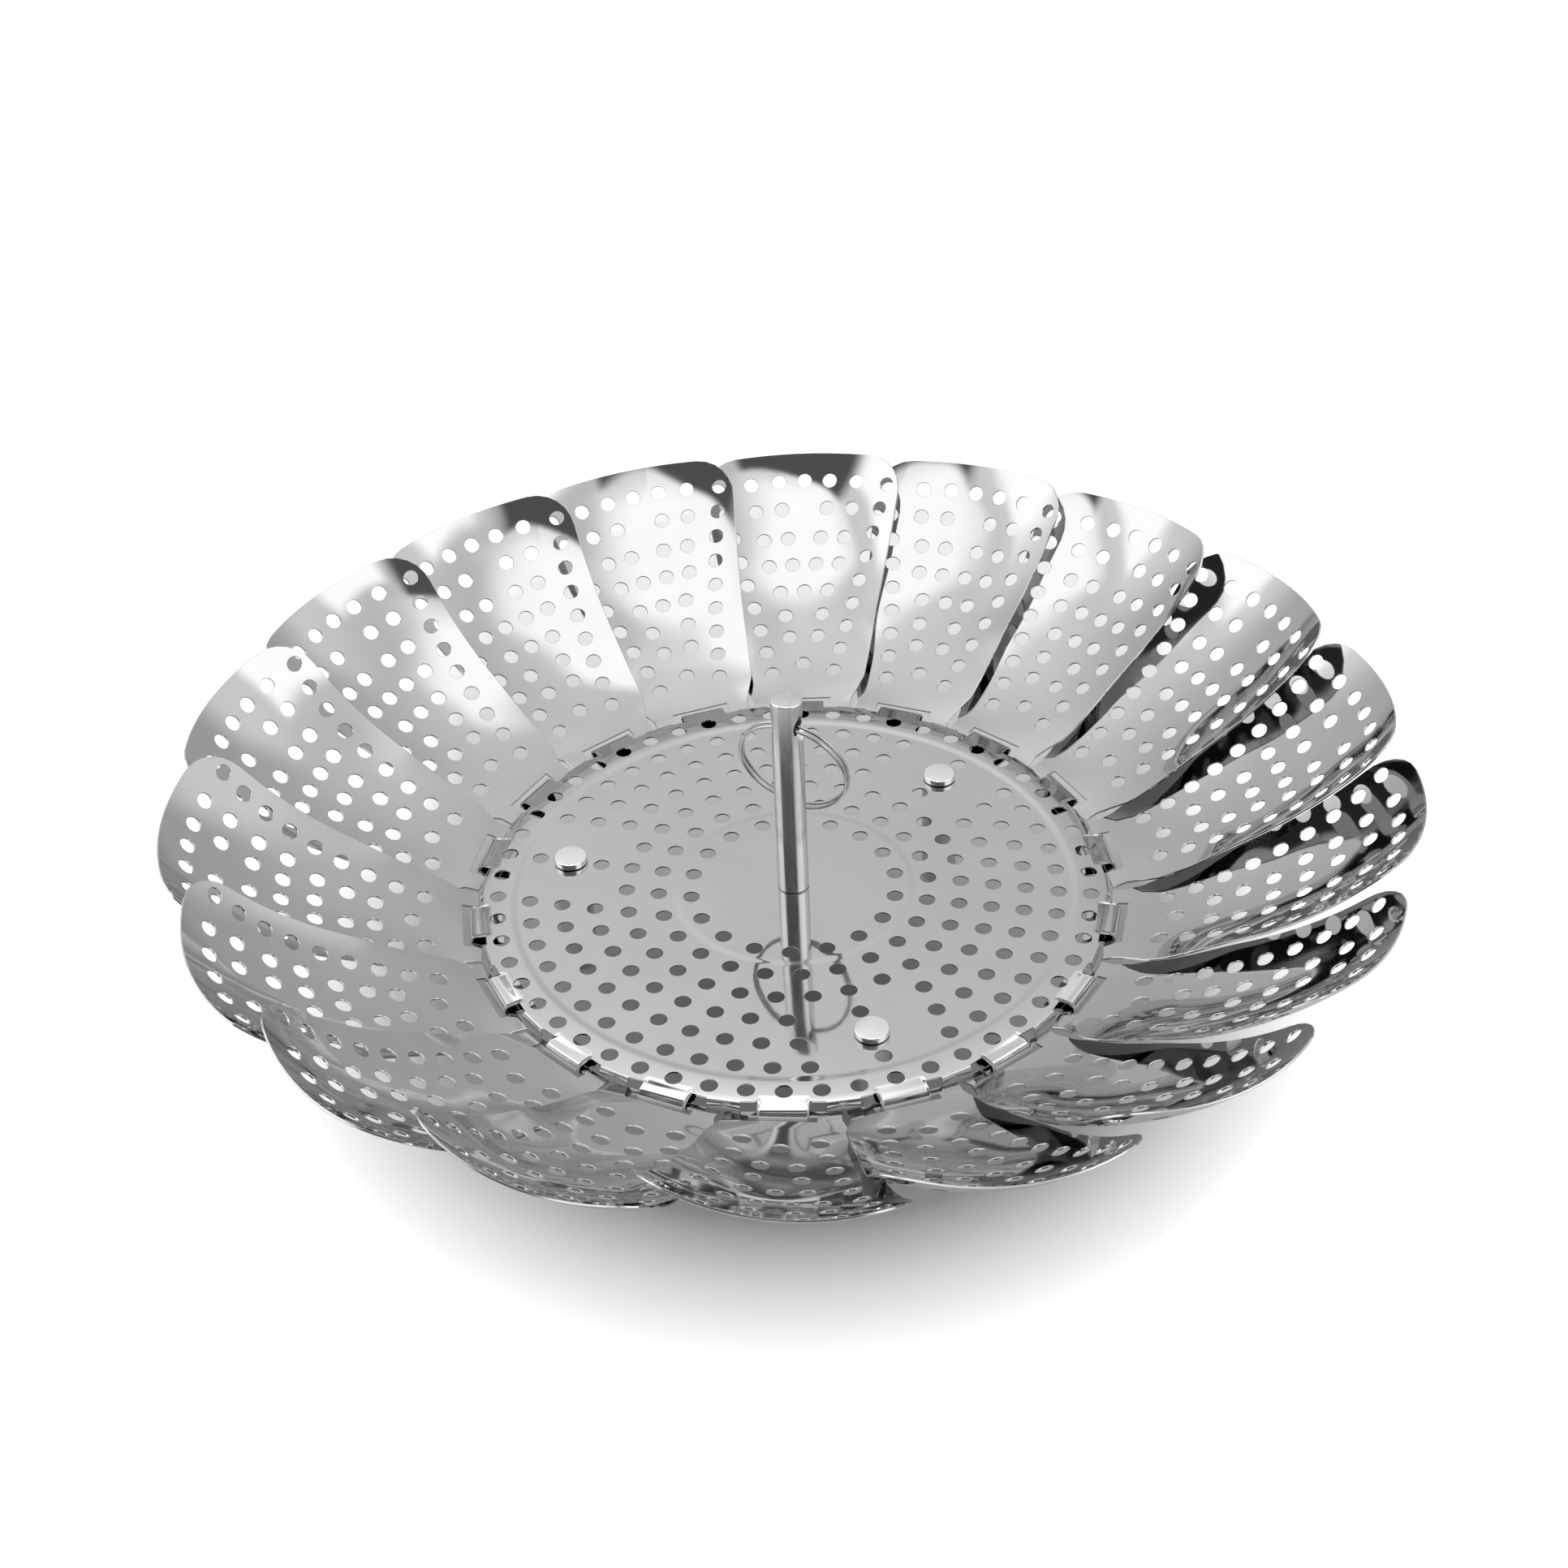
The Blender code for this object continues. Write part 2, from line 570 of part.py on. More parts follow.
def lifting_ring(parts, material):
    """A split ring of two turns of wire through the cross hole, leaning on the back of the post."""
    along_hole = spoke(1.0, CROSS_HOLE_AZIMUTH)
    behind = spoke(1.0, CROSS_HOLE_AZIMUTH + 90.0)
    down = Vector((0.0, 0.0, -1.0)) * math.cos(RING_LEAN) + behind * math.sin(RING_LEAN)
    normal = along_hole.cross(down)
    centre = down * LIFTING_RING_RADIUS
    count = RING_TURNS * POINT_COUNT_PER_TURN
    points = []
    for i in range(count + 1):
        turn = math.tau * i / POINT_COUNT_PER_TURN
        side = TURN_PITCH * (i / POINT_COUNT_PER_TURN - RING_TURNS / 2)
        radial = down * math.cos(turn) + along_hole * math.sin(turn)
        points.append(centre + radial * LIFTING_RING_RADIUS + normal * side)
    print("least gap between the ring's turns, mm:", round(wire_gap(points) / MM, 3))
    curve = bpy.data.curves.new("lifting_ring", "CURVE")
    curve.dimensions = "3D"
    curve.bevel_depth = WIRE_DIAMETER / 2
    curve.bevel_resolution = 1
    curve.use_fill_caps = True
    spline = curve.splines.new("POLY")
    spline.points.add(count)
    for place, point in zip(spline.points, points):
        place.co = (*point, 1.0)
    wire = bpy.data.objects.new("ring_wire", curve)
    parts.objects.link(wire)
    bm = bmesh.new()
    bm.from_mesh(baked(wire, "ring_tube"))
    bpy.data.objects.remove(wire, do_unlink=True)
    bmesh.ops.remove_doubles(bm, verts=bm.verts[:], dist=MERGE_DISTANCE)
    bmesh.ops.recalc_face_normals(bm, faces=bm.faces[:])
    ring = add_object("lifting_ring", mesh_from(bm, "lifting_ring"), parts, material)
    ring.location.z = PIVOT_HEIGHT
    shade(ring)


def feet(parts, foot_material, rivet_material):
    """Three legs, each held by a rivet whose flat head shows on the plate."""
    leg = FOOT_DIAMETER / 2
    pad = leg - FOOT_ROUNDING
    bore = SHANK_DIAMETER / 2 + SHANK_CLEARANCE
    top = FOOT_HEIGHT - SEAT_GAP
    shank_end = top - SHANK_DEPTH
    bore_end = shank_end - BORE_END_GAP
    foot_profile = (
        (0.0, bore_end), (bore, bore_end), (bore, top),
        (leg, top), (leg, FOOT_ROUNDING), (pad, 0.0), (0.0, 0.0),
    )
    head = RIVET_HEAD_DIAMETER / 2
    shank = SHANK_DIAMETER / 2
    head_bottom = FIELD_TOP + SEAT_GAP
    head_top = head_bottom + RIVET_HEAD_HEIGHT
    rivet_profile = (
        (0.0, head_top), (head - RIVET_EDGE, head_top), (head, head_top - RIVET_EDGE), (head, head_bottom),
        (shank, head_bottom), (shank, shank_end), (0.0, shank_end),
    )
    for i in range(FOOT_COUNT):
        place = spoke(FOOT_RADIUS, FOOT_AZIMUTH + 360.0 / FOOT_COUNT * i)
        foot = turned(f"foot_{i + 1}", foot_profile, parts, foot_material, steps=TURN_STEPS // 2)
        foot.location = place
        rivet = turned(f"foot_rivet_{i + 1}", rivet_profile, parts, rivet_material, steps=TURN_STEPS // 2)
        rivet.location = place


def main():
    clear_scene()
    parts = make_collection("steamer_basket")
    cutters = make_collection("cutters")
    plate_steel = make_material("plate_steel", (0.55, 0.55, 0.56), 0.28)
    petal_steel = make_material("petal_steel", (0.62, 0.62, 0.63), 0.08)
    post_steel = make_material("post_steel", (0.52, 0.52, 0.53), 0.3)
    wire_steel = make_material("wire_steel", (0.6, 0.6, 0.61), 0.12)
    rivet_steel = make_material("rivet_steel", (0.6, 0.6, 0.6), 0.25)
    foot_steel = make_material("foot_steel", (0.5, 0.5, 0.51), 0.3)
    washer_steel = make_material("washer_steel", (0.55, 0.55, 0.55), 0.35)
    nut_steel = make_material("nut_steel", (0.5, 0.5, 0.5), 0.35)
    base_plate(parts, plate_steel)
    petals(parts, cutters, petal_steel)
    centre_post(parts, cutters, post_steel)
    post_fixings(parts, washer_steel, nut_steel)
    lifting_ring(parts, wire_steel)
    feet(parts, foot_steel, rivet_steel)


main()
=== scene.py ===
"""Look of a folding steamer basket: perforated plate, cupped petals, post, lifting ring and feet in steel.

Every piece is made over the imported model, which is loaded as a fixed frame, and rides one of its bodies.
"""
import json
import math

import bmesh
import bpy
import numpy as np
from mathutils import Matrix, Vector


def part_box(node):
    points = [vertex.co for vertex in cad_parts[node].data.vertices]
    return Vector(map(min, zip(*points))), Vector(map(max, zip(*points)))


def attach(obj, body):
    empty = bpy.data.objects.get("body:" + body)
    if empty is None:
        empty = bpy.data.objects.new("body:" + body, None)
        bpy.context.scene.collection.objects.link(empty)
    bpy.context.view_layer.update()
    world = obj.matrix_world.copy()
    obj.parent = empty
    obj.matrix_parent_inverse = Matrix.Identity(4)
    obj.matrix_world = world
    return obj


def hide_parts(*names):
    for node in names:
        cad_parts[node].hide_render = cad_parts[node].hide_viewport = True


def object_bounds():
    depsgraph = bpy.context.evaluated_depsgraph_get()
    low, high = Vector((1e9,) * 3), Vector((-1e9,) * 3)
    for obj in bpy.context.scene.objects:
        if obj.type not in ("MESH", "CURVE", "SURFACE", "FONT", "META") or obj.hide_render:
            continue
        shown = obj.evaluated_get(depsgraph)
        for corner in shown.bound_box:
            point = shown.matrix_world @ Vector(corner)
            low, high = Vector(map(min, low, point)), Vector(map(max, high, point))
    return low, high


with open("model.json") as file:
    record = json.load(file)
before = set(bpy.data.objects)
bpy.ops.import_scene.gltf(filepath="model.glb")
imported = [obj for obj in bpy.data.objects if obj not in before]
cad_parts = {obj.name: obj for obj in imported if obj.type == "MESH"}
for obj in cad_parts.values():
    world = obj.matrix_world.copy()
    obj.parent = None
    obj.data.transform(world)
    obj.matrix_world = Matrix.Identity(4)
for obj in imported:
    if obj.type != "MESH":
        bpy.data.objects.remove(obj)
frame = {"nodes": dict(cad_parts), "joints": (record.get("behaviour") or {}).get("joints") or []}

bl_info = {
    "name": "Folding steamer basket",
    "version": (1, 0, 0),
    "blender": (4, 5, 0),
    "location": "3D View > Sidebar > Steamer",
    "description": "Builds the pieces of a folding steamer basket and a studio stage for it",
    "category": "Add Mesh",
}

MM = 0.001
DEGREES = math.degrees(1.0)
CAD_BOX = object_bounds()


def azimuth_of(place):
    """The direction of a place from the middle, in degrees."""
    return math.degrees(math.atan2(place.y, place.x))


def middle_of(box):
    low, high = box
    middle = (low + high) / 2
    return Vector((middle.x, middle.y, 0.0))


# Places that the frame gives
JOINTS = {joint["name"]: joint for joint in frame["joints"]}
HINGE_PLACE = Vector(JOINTS["petal_01_fold"]["pos_m"])
HINGE_RADIUS = HINGE_PLACE.xy.length
HINGE_HEIGHT = HINGE_PLACE.z
PIVOT = Vector(JOINTS["ring_swing"]["pos_m"])
PIVOT_AXIS = Vector(JOINTS["ring_swing"]["axis"])
PETALS = sorted(name for name in frame["nodes"] if name.startswith("petal_"))
FIRST_AZIMUTH = azimuth_of(HINGE_PLACE)
SECTOR = 360.0 / len(PETALS)
HALF_SECTOR = math.radians(SECTOR / 2)
PLATE_LOW, PLATE_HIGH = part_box("base_plate")
RIM_TOP = PLATE_HIGH.z
CURL_RADIUS = (PLATE_HIGH.z - PLATE_LOW.z) / 2
POST_LOW, POST_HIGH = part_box("centre_post")
WASHER_LOW, WASHER_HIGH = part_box("post_washer")
NUT_LOW, NUT_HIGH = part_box("post_nut")
FEET = [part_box(f"foot_{i + 1}") for i in range(3)]
RIVETS = [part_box(f"foot_rivet_{i + 1}") for i in range(3)]
FOOT_AZIMUTH = azimuth_of(middle_of(FEET[0]))


def length(name, description, default, soft_max=300.0):
    """A size that a user may change, given in millimetres."""
    return bpy.props.FloatProperty(name=name, description=description, default=default * MM, min=0.0,
                                   soft_max=soft_max * MM, precision=5, unit="LENGTH")


def number(name, description, default, low=0.0, high=1.0):
    return bpy.props.FloatProperty(name=name, description=description, default=default, min=low, max=high)


def count(name, description, default, low=1):
    return bpy.props.IntProperty(name=name, description=description, default=default, min=low)


def colour(name, description, default):
    return bpy.props.FloatVectorProperty(name=name, description=description, default=default, size=3,
                                         min=0.0, max=1.0, subtype="COLOR")


class PlateSizes(bpy.types.PropertyGroup):
    sheet: length("Sheet", "Thickness of the plate's sheet", 0.4)
    hole_diameter: length("Hole", "Diameter of the punched holes", 3.2)
    first_ring: length("First ring", "Radius of the innermost ring of holes", 20.0)
    ring_pitch: length("Ring pitch", "Distance between rings of holes", 6.25)
    rings: count("Rings", "Rings of holes", 7)
    first_ring_holes: count("First ring's holes", "Holes in the innermost ring", 18)
    holes_added: count("Holes added", "Holes that each ring has more than the one inside it", 6)
    disc_step: length("Disc step", "Height of the raised middle disc", 0.12)
    rim_step: length("Rim step", "Height of the raised outer ring", 0.3)
    step_width: length("Step width", "Width of the pressed steps", 1.7)
    tab_width: length("Tab width", "Width of the tabs that the petals hinge on", 9.1)
    tab_tail: length("Tab tail", "Straight run of a tab back under the plate", 5.0)
    notch_depth: length("Notch depth", "Depth of the notches beside a tab", 1.75)
    lip_width: length("Lip width", "Width of the lips between petals", 6.0)
    lip_bend: length("Lip bend", "Bending radius of the lips", 0.6)
    lip_drop: length("Lip drop", "Straight run of a lip below its bend", 1.2)
    lip_face: length("Lip face", "Distance of a lip's outer face from the middle", 61.02)
    edge: length("Edge", "Rounding of the punched edges", 0.07)
    patch: length("Patch", "Width of the flat ring of patches that holds a ring of holes", 4.0)
    guard: length("Guard", "Flat border kept beside folds and steps", 0.25)
    rivet_hole: length("Rivet hole", "Diameter of the rivets' holes", 3.7)
    stud_hole: length("Stud hole", "Diameter of the stud's hole", 4.7)
    hole_sides: count("Hole sides", "Sides of a hole", 24, 8)
    step_sides: count("Step sides", "Sides of the pressed circles", 120, 3)


class PetalSizes(bpy.types.PropertyGroup):
    sheet: length("Sheet", "Thickness of a petal's sheet", 0.4)
    length: length("Length", "Length of a petal along its sheet, from the hinge line", 64.25)
    strip: length("Pin strip", "Half width of the strip that turns in a tab", 0.73)
    root_gap: length("Root gap", "Gap between neighbouring petals at the hinge", 0.96)
    flare_start: length("Flare start", "Where the petal starts to widen", 2.0)
    flare_end: length("Flare end", "Where the quick widening ends", 8.0)
    flare_spread: length("Flare spread", "Widening on each side at the root", 3.0)
    overlap: length("Overlap", "How far the tip passes over the next petal's sector", 2.75)
    rim_sagitta: length("Rim arch", "Height of the arched rim's bow", 3.4)
    corner: length("Corner", "Radius of the tip's corners", 9.0)
    slot_side: length("Slot side gap", "Play of a tab in its slot, sideways", 1.5)
    slot_end: length("Slot end gap", "Play of a tab in its slot, outwards", 1.25)
    cup_radius: length("Cup radius", "Radius of the bend across a petal", 47.0)
    cup_start: length("Cup start", "Where the bend across the petal starts", 3.0)
    cup_end: length("Cup end", "Where the bend across the petal is full", 26.0)
    twist_start: length("Twist start", "Where the petal's lean reaches its root value", 6.0)
    root_slope: number("Root slope", "Slope at the hinge, in degrees", 14.4, 0.0, 90.0)
    tip_slope: number("Tip slope", "Slope at the tip, in degrees", 51.9, 0.0, 90.0)
    slope_power: number("Slope power", "How late the slope builds up", 1.33, 0.1, 4.0)
    root_lean: number("Root lean", "Lean over the next petal at the root, in radians", 0.07)
    tip_lean: number("Tip lean", "Lean over the next petal at the tip, in radians", 0.115)
    hole_diameter: length("Hole", "Diameter of the punched holes", 3.2)
    margin_first: length("First margin hole", "Distance of the first margin hole from the hinge", 10.0)
    margin_last: length("Last margin hole", "Distance of the last margin hole from the hinge", 55.3)
    margin_near: length("Margin start", "Half width of the margin row at its first hole", 6.7)
    margin_far: length("Margin end", "Half width of the margin row at its last hole", 19.6)
    margin_bow: length("Margin bow", "How far the margin row bows inwards", 0.55)
    margin_holes: count("Margin holes", "Holes along each side", 9, 2)
    row_bow: length("Row bow", "Radius that the rows of holes are bowed to", 70.0)
    edge: length("Edge", "Rounding of the punched edges", 0.08)
    hole_sides: count("Hole sides", "Sides of a hole", 20, 3)
    columns: count("Columns", "Columns of the sheet's grid", 24, 4)
    rows: count("Rows", "Rows of the sheet's grid", 34, 4)


class PostSizes(bpy.types.PropertyGroup):
    edge: length("Top edge", "Rounding of the post's top edge", 0.45)
    cross_hole: length("Cross hole", "Diameter of the ring's hole", 4.0)
    cross_depth: length("Cross hole depth", "Depth of the ring's hole below the top", 5.6)
    stud_diameter: length("Stud", "Diameter of the threaded stud", 4.0)
    thread_pitch: length("Thread pitch", "Pitch of the stud's thread", 0.7)
    thread_depth: length("Thread depth", "Depth of the stud's thread", 0.3)
    shoulder: length("Shoulder", "Height of the post's seat above the table", 25.72)
    fixing_hole: length("Fixing hole", "Bore of the washer and the nut", 4.7)
    sides: count("Sides", "Sides of the turned pieces", 72, 8)


class RingSizes(bpy.types.PropertyGroup):
    wire: length("Wire", "Diameter of the ring's wire", 0.7)
    radius: length("Radius", "Radius of the ring to the middle of its wire", 10.8)
    pitch: length("Pitch", "Distance between the ring's two turns", 1.15)
    lean: number("Lean", "Lean of the ring behind the post, in degrees", 12.84, 0.0, 90.0)
    turns: count("Turns", "Turns of wire", 2)
    steps: count("Steps", "Steps in a turn", 96, 12)
    sides: count("Sides", "Sides of the wire", 16, 4)


class FootSizes(bpy.types.PropertyGroup):
    rounding: length("Foot rounding", "Rounding of a foot's lower edge", 1.2)
    head: length("Rivet head", "Diameter of a rivet's head", 6.5)
    head_height: length("Head height", "Height of a rivet's head", 1.3)
    head_edge: length("Head edge", "Rounding of a rivet's head", 0.25)
    shank: length("Shank", "Diameter of a rivet's shank", 3.0)
    bore: length("Bore", "Diameter of a foot's bore", 3.7)
    sides: count("Sides", "Sides of the turned pieces", 48, 8)


class Finishes(bpy.types.PropertyGroup):
    plate: colour("Plate steel", "Reflected colour of the polished plate", (0.51, 0.506, 0.51))
    petal: colour("Petal steel", "Reflected colour of the polished petals", (0.45, 0.446, 0.45))
    post: colour("Post steel", "Reflected colour of the drawn rod", (0.62, 0.616, 0.62))
    rivet: colour("Rivet steel", "Reflected colour of the rivets and feet", (0.76, 0.755, 0.76))
    wire: colour("Wire steel", "Reflected colour of the spring wire", (0.44, 0.437, 0.44))
    plate_roughness: number("Plate roughness", "Roughness of the polished plate", 0.055)
    petal_roughness: number("Petal roughness", "Roughness of the polished petals", 0.06)
    post_roughness: number("Post roughness", "Roughness of the drawn rod", 0.2)
    wire_roughness: number("Wire roughness", "Roughness of the spring wire", 0.06)


class StageLight(bpy.types.PropertyGroup):
    overhead: number("Overhead", "Brightness of the overhead softbox, 1 being paper white", 2.0, 0.0, 20.0)
    fill: number("Fill", "Brightness of the room's diffuse light", 0.5, 0.0, 5.0)
    wall: number("Wall", "Brightness of the tent's back wall at the floor, seen in reflections", 0.7, 0.0, 5.0)
    wall_rise: number("Wall rise", "How much brighter the tent is overhead than at the floor", 0.58, 0.0, 5.0)
    ceiling: number("Ceiling", "Brightness of the tent's ceiling, seen in reflections", 2.15, 0.0, 20.0)
    window: number("Windows", "Brightness of the tent's side windows, seen in reflections", 2.2, 0.0, 20.0)
    side: number("Sides", "Brightness that the tent's side walls add", 0.5, 0.0, 5.0)
    stand: number("Camera stand", "Brightness of the dark space round the camera", 0.16, 0.0, 5.0)
    floor_lift: number("Floor lift", "Brightness that the open floor adds, up to paper white", 0.8, 0.0, 1.0)
    lens: number("Lens", "Focal length on a 36 mm sensor", 55.51, 10.0, 300.0)
    azimuth: number("Azimuth", "Camera's direction from the front, in degrees", 3.3196, -180.0, 180.0)
    elevation: number("Elevation", "Camera's height above the horizon, in degrees", 36.7848, 0.0, 90.0)
    roll: number("Roll", "Camera's roll, in degrees", -2.4074, -90.0, 90.0)
    distance: length("Distance", "Camera's distance from its target", 496.4, 2000.0)


CAMERA_TARGET = Vector((-2.92, 32.49, 25.8)) * MM
SENSOR_WIDTH = 36.0

# Rows of holes in a petal, each as a share of its length and the shares of its tip half width on either side
HOLE_ROW_SHARES = (
    (0.902, (0.0, 0.232, 0.484)),
    (0.802, (0.204, 0.44)),
    (0.693, (0.148, 0.364)),
    (0.593, (0.106, 0.316)),
    (0.490, (0.0, 0.212)),
    (0.395, (0.164,)),
    (0.307, (0.124,)),
    (0.194, (0.0,)),
)

# Steps, tolerances and small shapes that the size groups don't hold
SHARP_ANGLE = math.radians(32.0)
NUT_SHARP_ANGLE = math.radians(20.0)
BLANK_EDGE_ANGLE = math.radians(60.0)
MERGE_DISTANCE = 0.0005 * MM
OVERRUN = 0.3 * MM
RIVET_RING = 5
SPOKES = 6
TAB_STEPS = 8
LIP_STEPS = 6
TAB_CURL_STEPS = 16
LIP_BEND_STEPS = 6
PRESSED_SHARES = (0.0, 0.2, 0.4, 0.6, 0.8, 1.0)
PRESS_STATIONS = 400
PRESS_REACH = 1.02
PRESS_NORMAL_STEPS = (0.4 * MM, 0.1 * MM, 0.05 * MM)
FLATTEST_CUP = 1e-6
POST_BANDS = 24
DRILL_SIDES = 48
DRILL_FLARE = 0.25 * MM
SIDE_PLAY = 0.02 * MM
SIDE_TILT = 0.01
CHAMFER_SLOPE = math.tan(math.radians(30.0))
FOOT_BORE_DEPTH = 6.0 * MM
FOOT_TOP_EDGE = 0.2 * MM
ROUNDING_STEPS = 6
EDGE_STEPS = 5
PUNCHED_EDGE_STEPS = 2
RADIUS_PLAY = 0.01 * MM
NUT_SIDES = 6

# Noise of the finishes: scale, detail, roughness and stretch along the axes
PLATE_WAVES = (14.0, 0.0)
PLATE_DENTS = (55.0, 0.0)
PLATE_GRAIN = (900.0, 2.0)
PLATE_SMUDGES = (45.0, 3.0, 0.6)
PETAL_WAVES = (22.0, 0.0)
PETAL_DENTS = (70.0, 0.0)
PETAL_HAZE = (60.0, 3.0, 0.6)
ROD_STREAKS = (1200.0, 2.0, 0.6, (1.0, 1.0, 0.02))
ROD_MOTTLE = (900.0, 3.0, 0.6, (1.0, 1.0, 0.3))
TURNED_MOTTLE = (600.0, 3.0, 0.6)
WIRE_MOTTLE = (900.0, 2.0)

# How far patches of a finish shade its colour and dull its surface
PLATE_PATCHES = (0.35, 0.08)
PETAL_PATCHES = (0.2, 0.05)
ROD_PATCHES = (0.4, 0.2)
ROD_STREAK_SHADE = 0.8
TURNED_PATCHES = (0.35, 0.2)
WIRE_PATCHES = (0.4, 0.1)
SHADE_REACH = 0.2

# Unevenness of the surfaces: heights of waves, dents and marks, and the plate's fall towards its edge
PLATE_WAVE_HEIGHT = 1.5 * MM
PLATE_DENT_HEIGHT = 0.2 * MM
GRAIN_HEIGHT = 0.002 * MM
RIM_FALL_START = 54.3 * MM
RIM_FALL = 28.0
TAB_FALL_REACH = (58.5 * MM, 61.2 * MM)
TAB_FALL = 0.8 * MM
TAB_FALL_EDGE = (0.1, 0.4)
PETAL_WAVE_HEIGHT = 3.0 * MM
PETAL_DENT_HEIGHT = 0.5 * MM
STREAK_DEPTH = 0.02 * MM
TURNED_BUMP_STRENGTH = 0.5

# The painted reflection tent round the stage, which glows only in reflections and casts no light, and the
# directions, in degrees, of what is painted on its wall
TENT_RADIUS = 1.5
TENT_SIDES = 64
TENT_RINGS = 32
WALL_RISE_POWER = 2.5
WALL_TURN = (-30.0, 20.0)
WALL_TURN_SHARES = (1.14, -0.18)
SIDE_WALLS = (42.0, 66.0)
SIDE_WALL_HEIGHT = (30.0, 60.0)
LEFT_GLOW = (62.0, 88.0)
LEFT_GLOW_SHARE = 0.5
RIGHT_GLOW = (95.0, 150.0)
RIGHT_GLOW_SHARE = 0.3
GLOW_HEIGHT = (49.0, 56.0)
WALL_FOOT_HEIGHT = (-2.0, 9.0)
WALL_FOOT_SHARE = 0.65
LEFT_WINDOW = (-116.0, -69.0)
LEFT_WINDOW_HEIGHT = (14.0, 41.0)
RIGHT_WINDOW = (88.0, 136.0)
RIGHT_WINDOW_HEIGHT = (22.0, 44.0)
WINDOW_SOFTNESS = (5.0, 3.0)
STAND_HEIGHT = (-20.0, 53.0)
STAND_SOFTNESS = 2.0
STAND_LEFT = (113.0, 125.0)
STAND_RIGHT = (138.0, 150.0)
CEILING_LEFT = (-39.0, -23.0)
CEILING_RIGHT = (2.0, 30.0)
CEILING_BACK = (-15.0, -2.0)
CEILING_FRONT = (24.0, 38.0)

# The overhead lamp, and circles of the floor's painted shade: past the shadow circle a painted white lift turns it
# white, a painted shadow behind the object stays unlifted, the core is painted darker, and a painted glow brightens
# the floor under the back of the plate
OVERHEAD_PLACE = Vector((0.0, -0.05, 0.85))
OVERHEAD_SIZE = (0.7, 0.7)
FLOOR_HALF_WIDTH = 6.0
SHADOW_MIDDLE = Vector((0.0, 8.0, 0.0)) * MM
SHADOW_START = 72.0 * MM
SHADOW_END = 108.0 * MM
# Painted shadow: a circle behind the object that the white lift leaves grey
PAINTED_BACK_SHADOW_MIDDLE = Vector((0.0, 110.0, 0.0)) * MM
PAINTED_BACK_SHADOW_START = 75.0 * MM
PAINTED_BACK_SHADOW_END = 100.0 * MM
# Painted shade: a core of the floor painted darker under the plate
PAINTED_SHADE_CORE_MIDDLE = Vector((0.0, -12.0, 0.0)) * MM
PAINTED_SHADE_CORE_START = 15.0 * MM
PAINTED_SHADE_CORE_END = 62.0 * MM
PAINTED_CORE_SHADE = 0.42
FLOOR_SHADE = 0.8
# Painted light: a glow on the floor under the back of the plate
PAINTED_GLOW_SHARE = 0.22
PAINTED_GLOW_REACH = (10.0 * MM, 75.0 * MM)
MIRRORED_FLOOR_SHARE = 0.25


class Reading:
    """A value in a shader, on which Python's operators add Math nodes."""

    def __init__(self, shading, socket):
        self.shading = shading
        self.socket = socket

    def math(self, operation, *others):
        return self.shading.node("ShaderNodeMath", {"operation": operation}, self, *others)

    def __add__(self, other):
        return self.math("ADD", other)

    def __sub__(self, other):
        return self.math("SUBTRACT", other)

    def __rsub__(self, other):
        return self.shading.node("ShaderNodeMath", {"operation": "SUBTRACT"}, other, self)

    def __mul__(self, other):
        return self.math("MULTIPLY", other)

    def __truediv__(self, other):
        return self.math("DIVIDE", other)

    def __pow__(self, other):
        return self.math("POWER", other)

    def vector(self, operation, *others, output=0):
        return self.shading.node("ShaderNodeVectorMath", {"operation": operation}, self, *others, output=output)

    def parts(self):
        """The three parts of a place or direction."""
        parted = self.shading.tree.nodes.new("ShaderNodeSeparateXYZ")
        self.shading.put(parted.inputs[0], self)
        return [Reading(self.shading, output) for output in parted.outputs]

    def from_axis(self):
        """Distance of a place from the vertical through the origin."""
        return self.vector("MULTIPLY", (1.0, 1.0, 0.0)).vector("LENGTH", output=1)

    def rise(self, start, end, kind="SMOOTHSTEP"):
        """A rise from 0 to 1 while the value goes from the start to the end."""
        return self.shading.node("ShaderNodeMapRange", {"interpolation_type": kind}, self, start, end)

    def between(self, low, high, soft):
        """1 between two values, with soft ends."""
        return self.rise(low - soft, low + soft) - self.rise(high - soft, high + soft)

    def noise(self, scale, detail=2.0, roughness=0.5, stretch=(1.0, 1.0, 1.0)):
        """Noise at a place, stretched along the axes."""
        stretched = self.vector("MULTIPLY", stretch)
        return self.shading.node("ShaderNodeTexNoise", None, stretched, Scale=scale, Detail=detail,
                                 Roughness=roughness)

    def grey(self):
        """A grey of this brightness."""
        return self.shading.node("ShaderNodeCombineXYZ", None, self, self, self)

    def shaded(self, base):
        """The base colour, lightened or darkened by this amount about 0."""
        dark = (*(part * (1.0 - SHADE_REACH) for part in base), 1.0)
        light = (*(min(part * (1.0 + SHADE_REACH), 1.0) for part in base), 1.0)
        return self.shading.blend(self + 0.5, dark, light)

    def patchy(self, base, roughness, shade, dulling):
        """A base colour and a roughness that vary with these patches, by a share each."""
        return {"Base Color": ((self - 0.5) * shade).shaded(base), "Roughness": (self - 0.5) * dulling + roughness}

    def bump(self, distance=1.0, strength=1.0):
        """A normal that follows this height, in metres unless a distance is given."""
        return self.shading.node("ShaderNodeBump", None, Strength=strength, Distance=distance, Height=self)


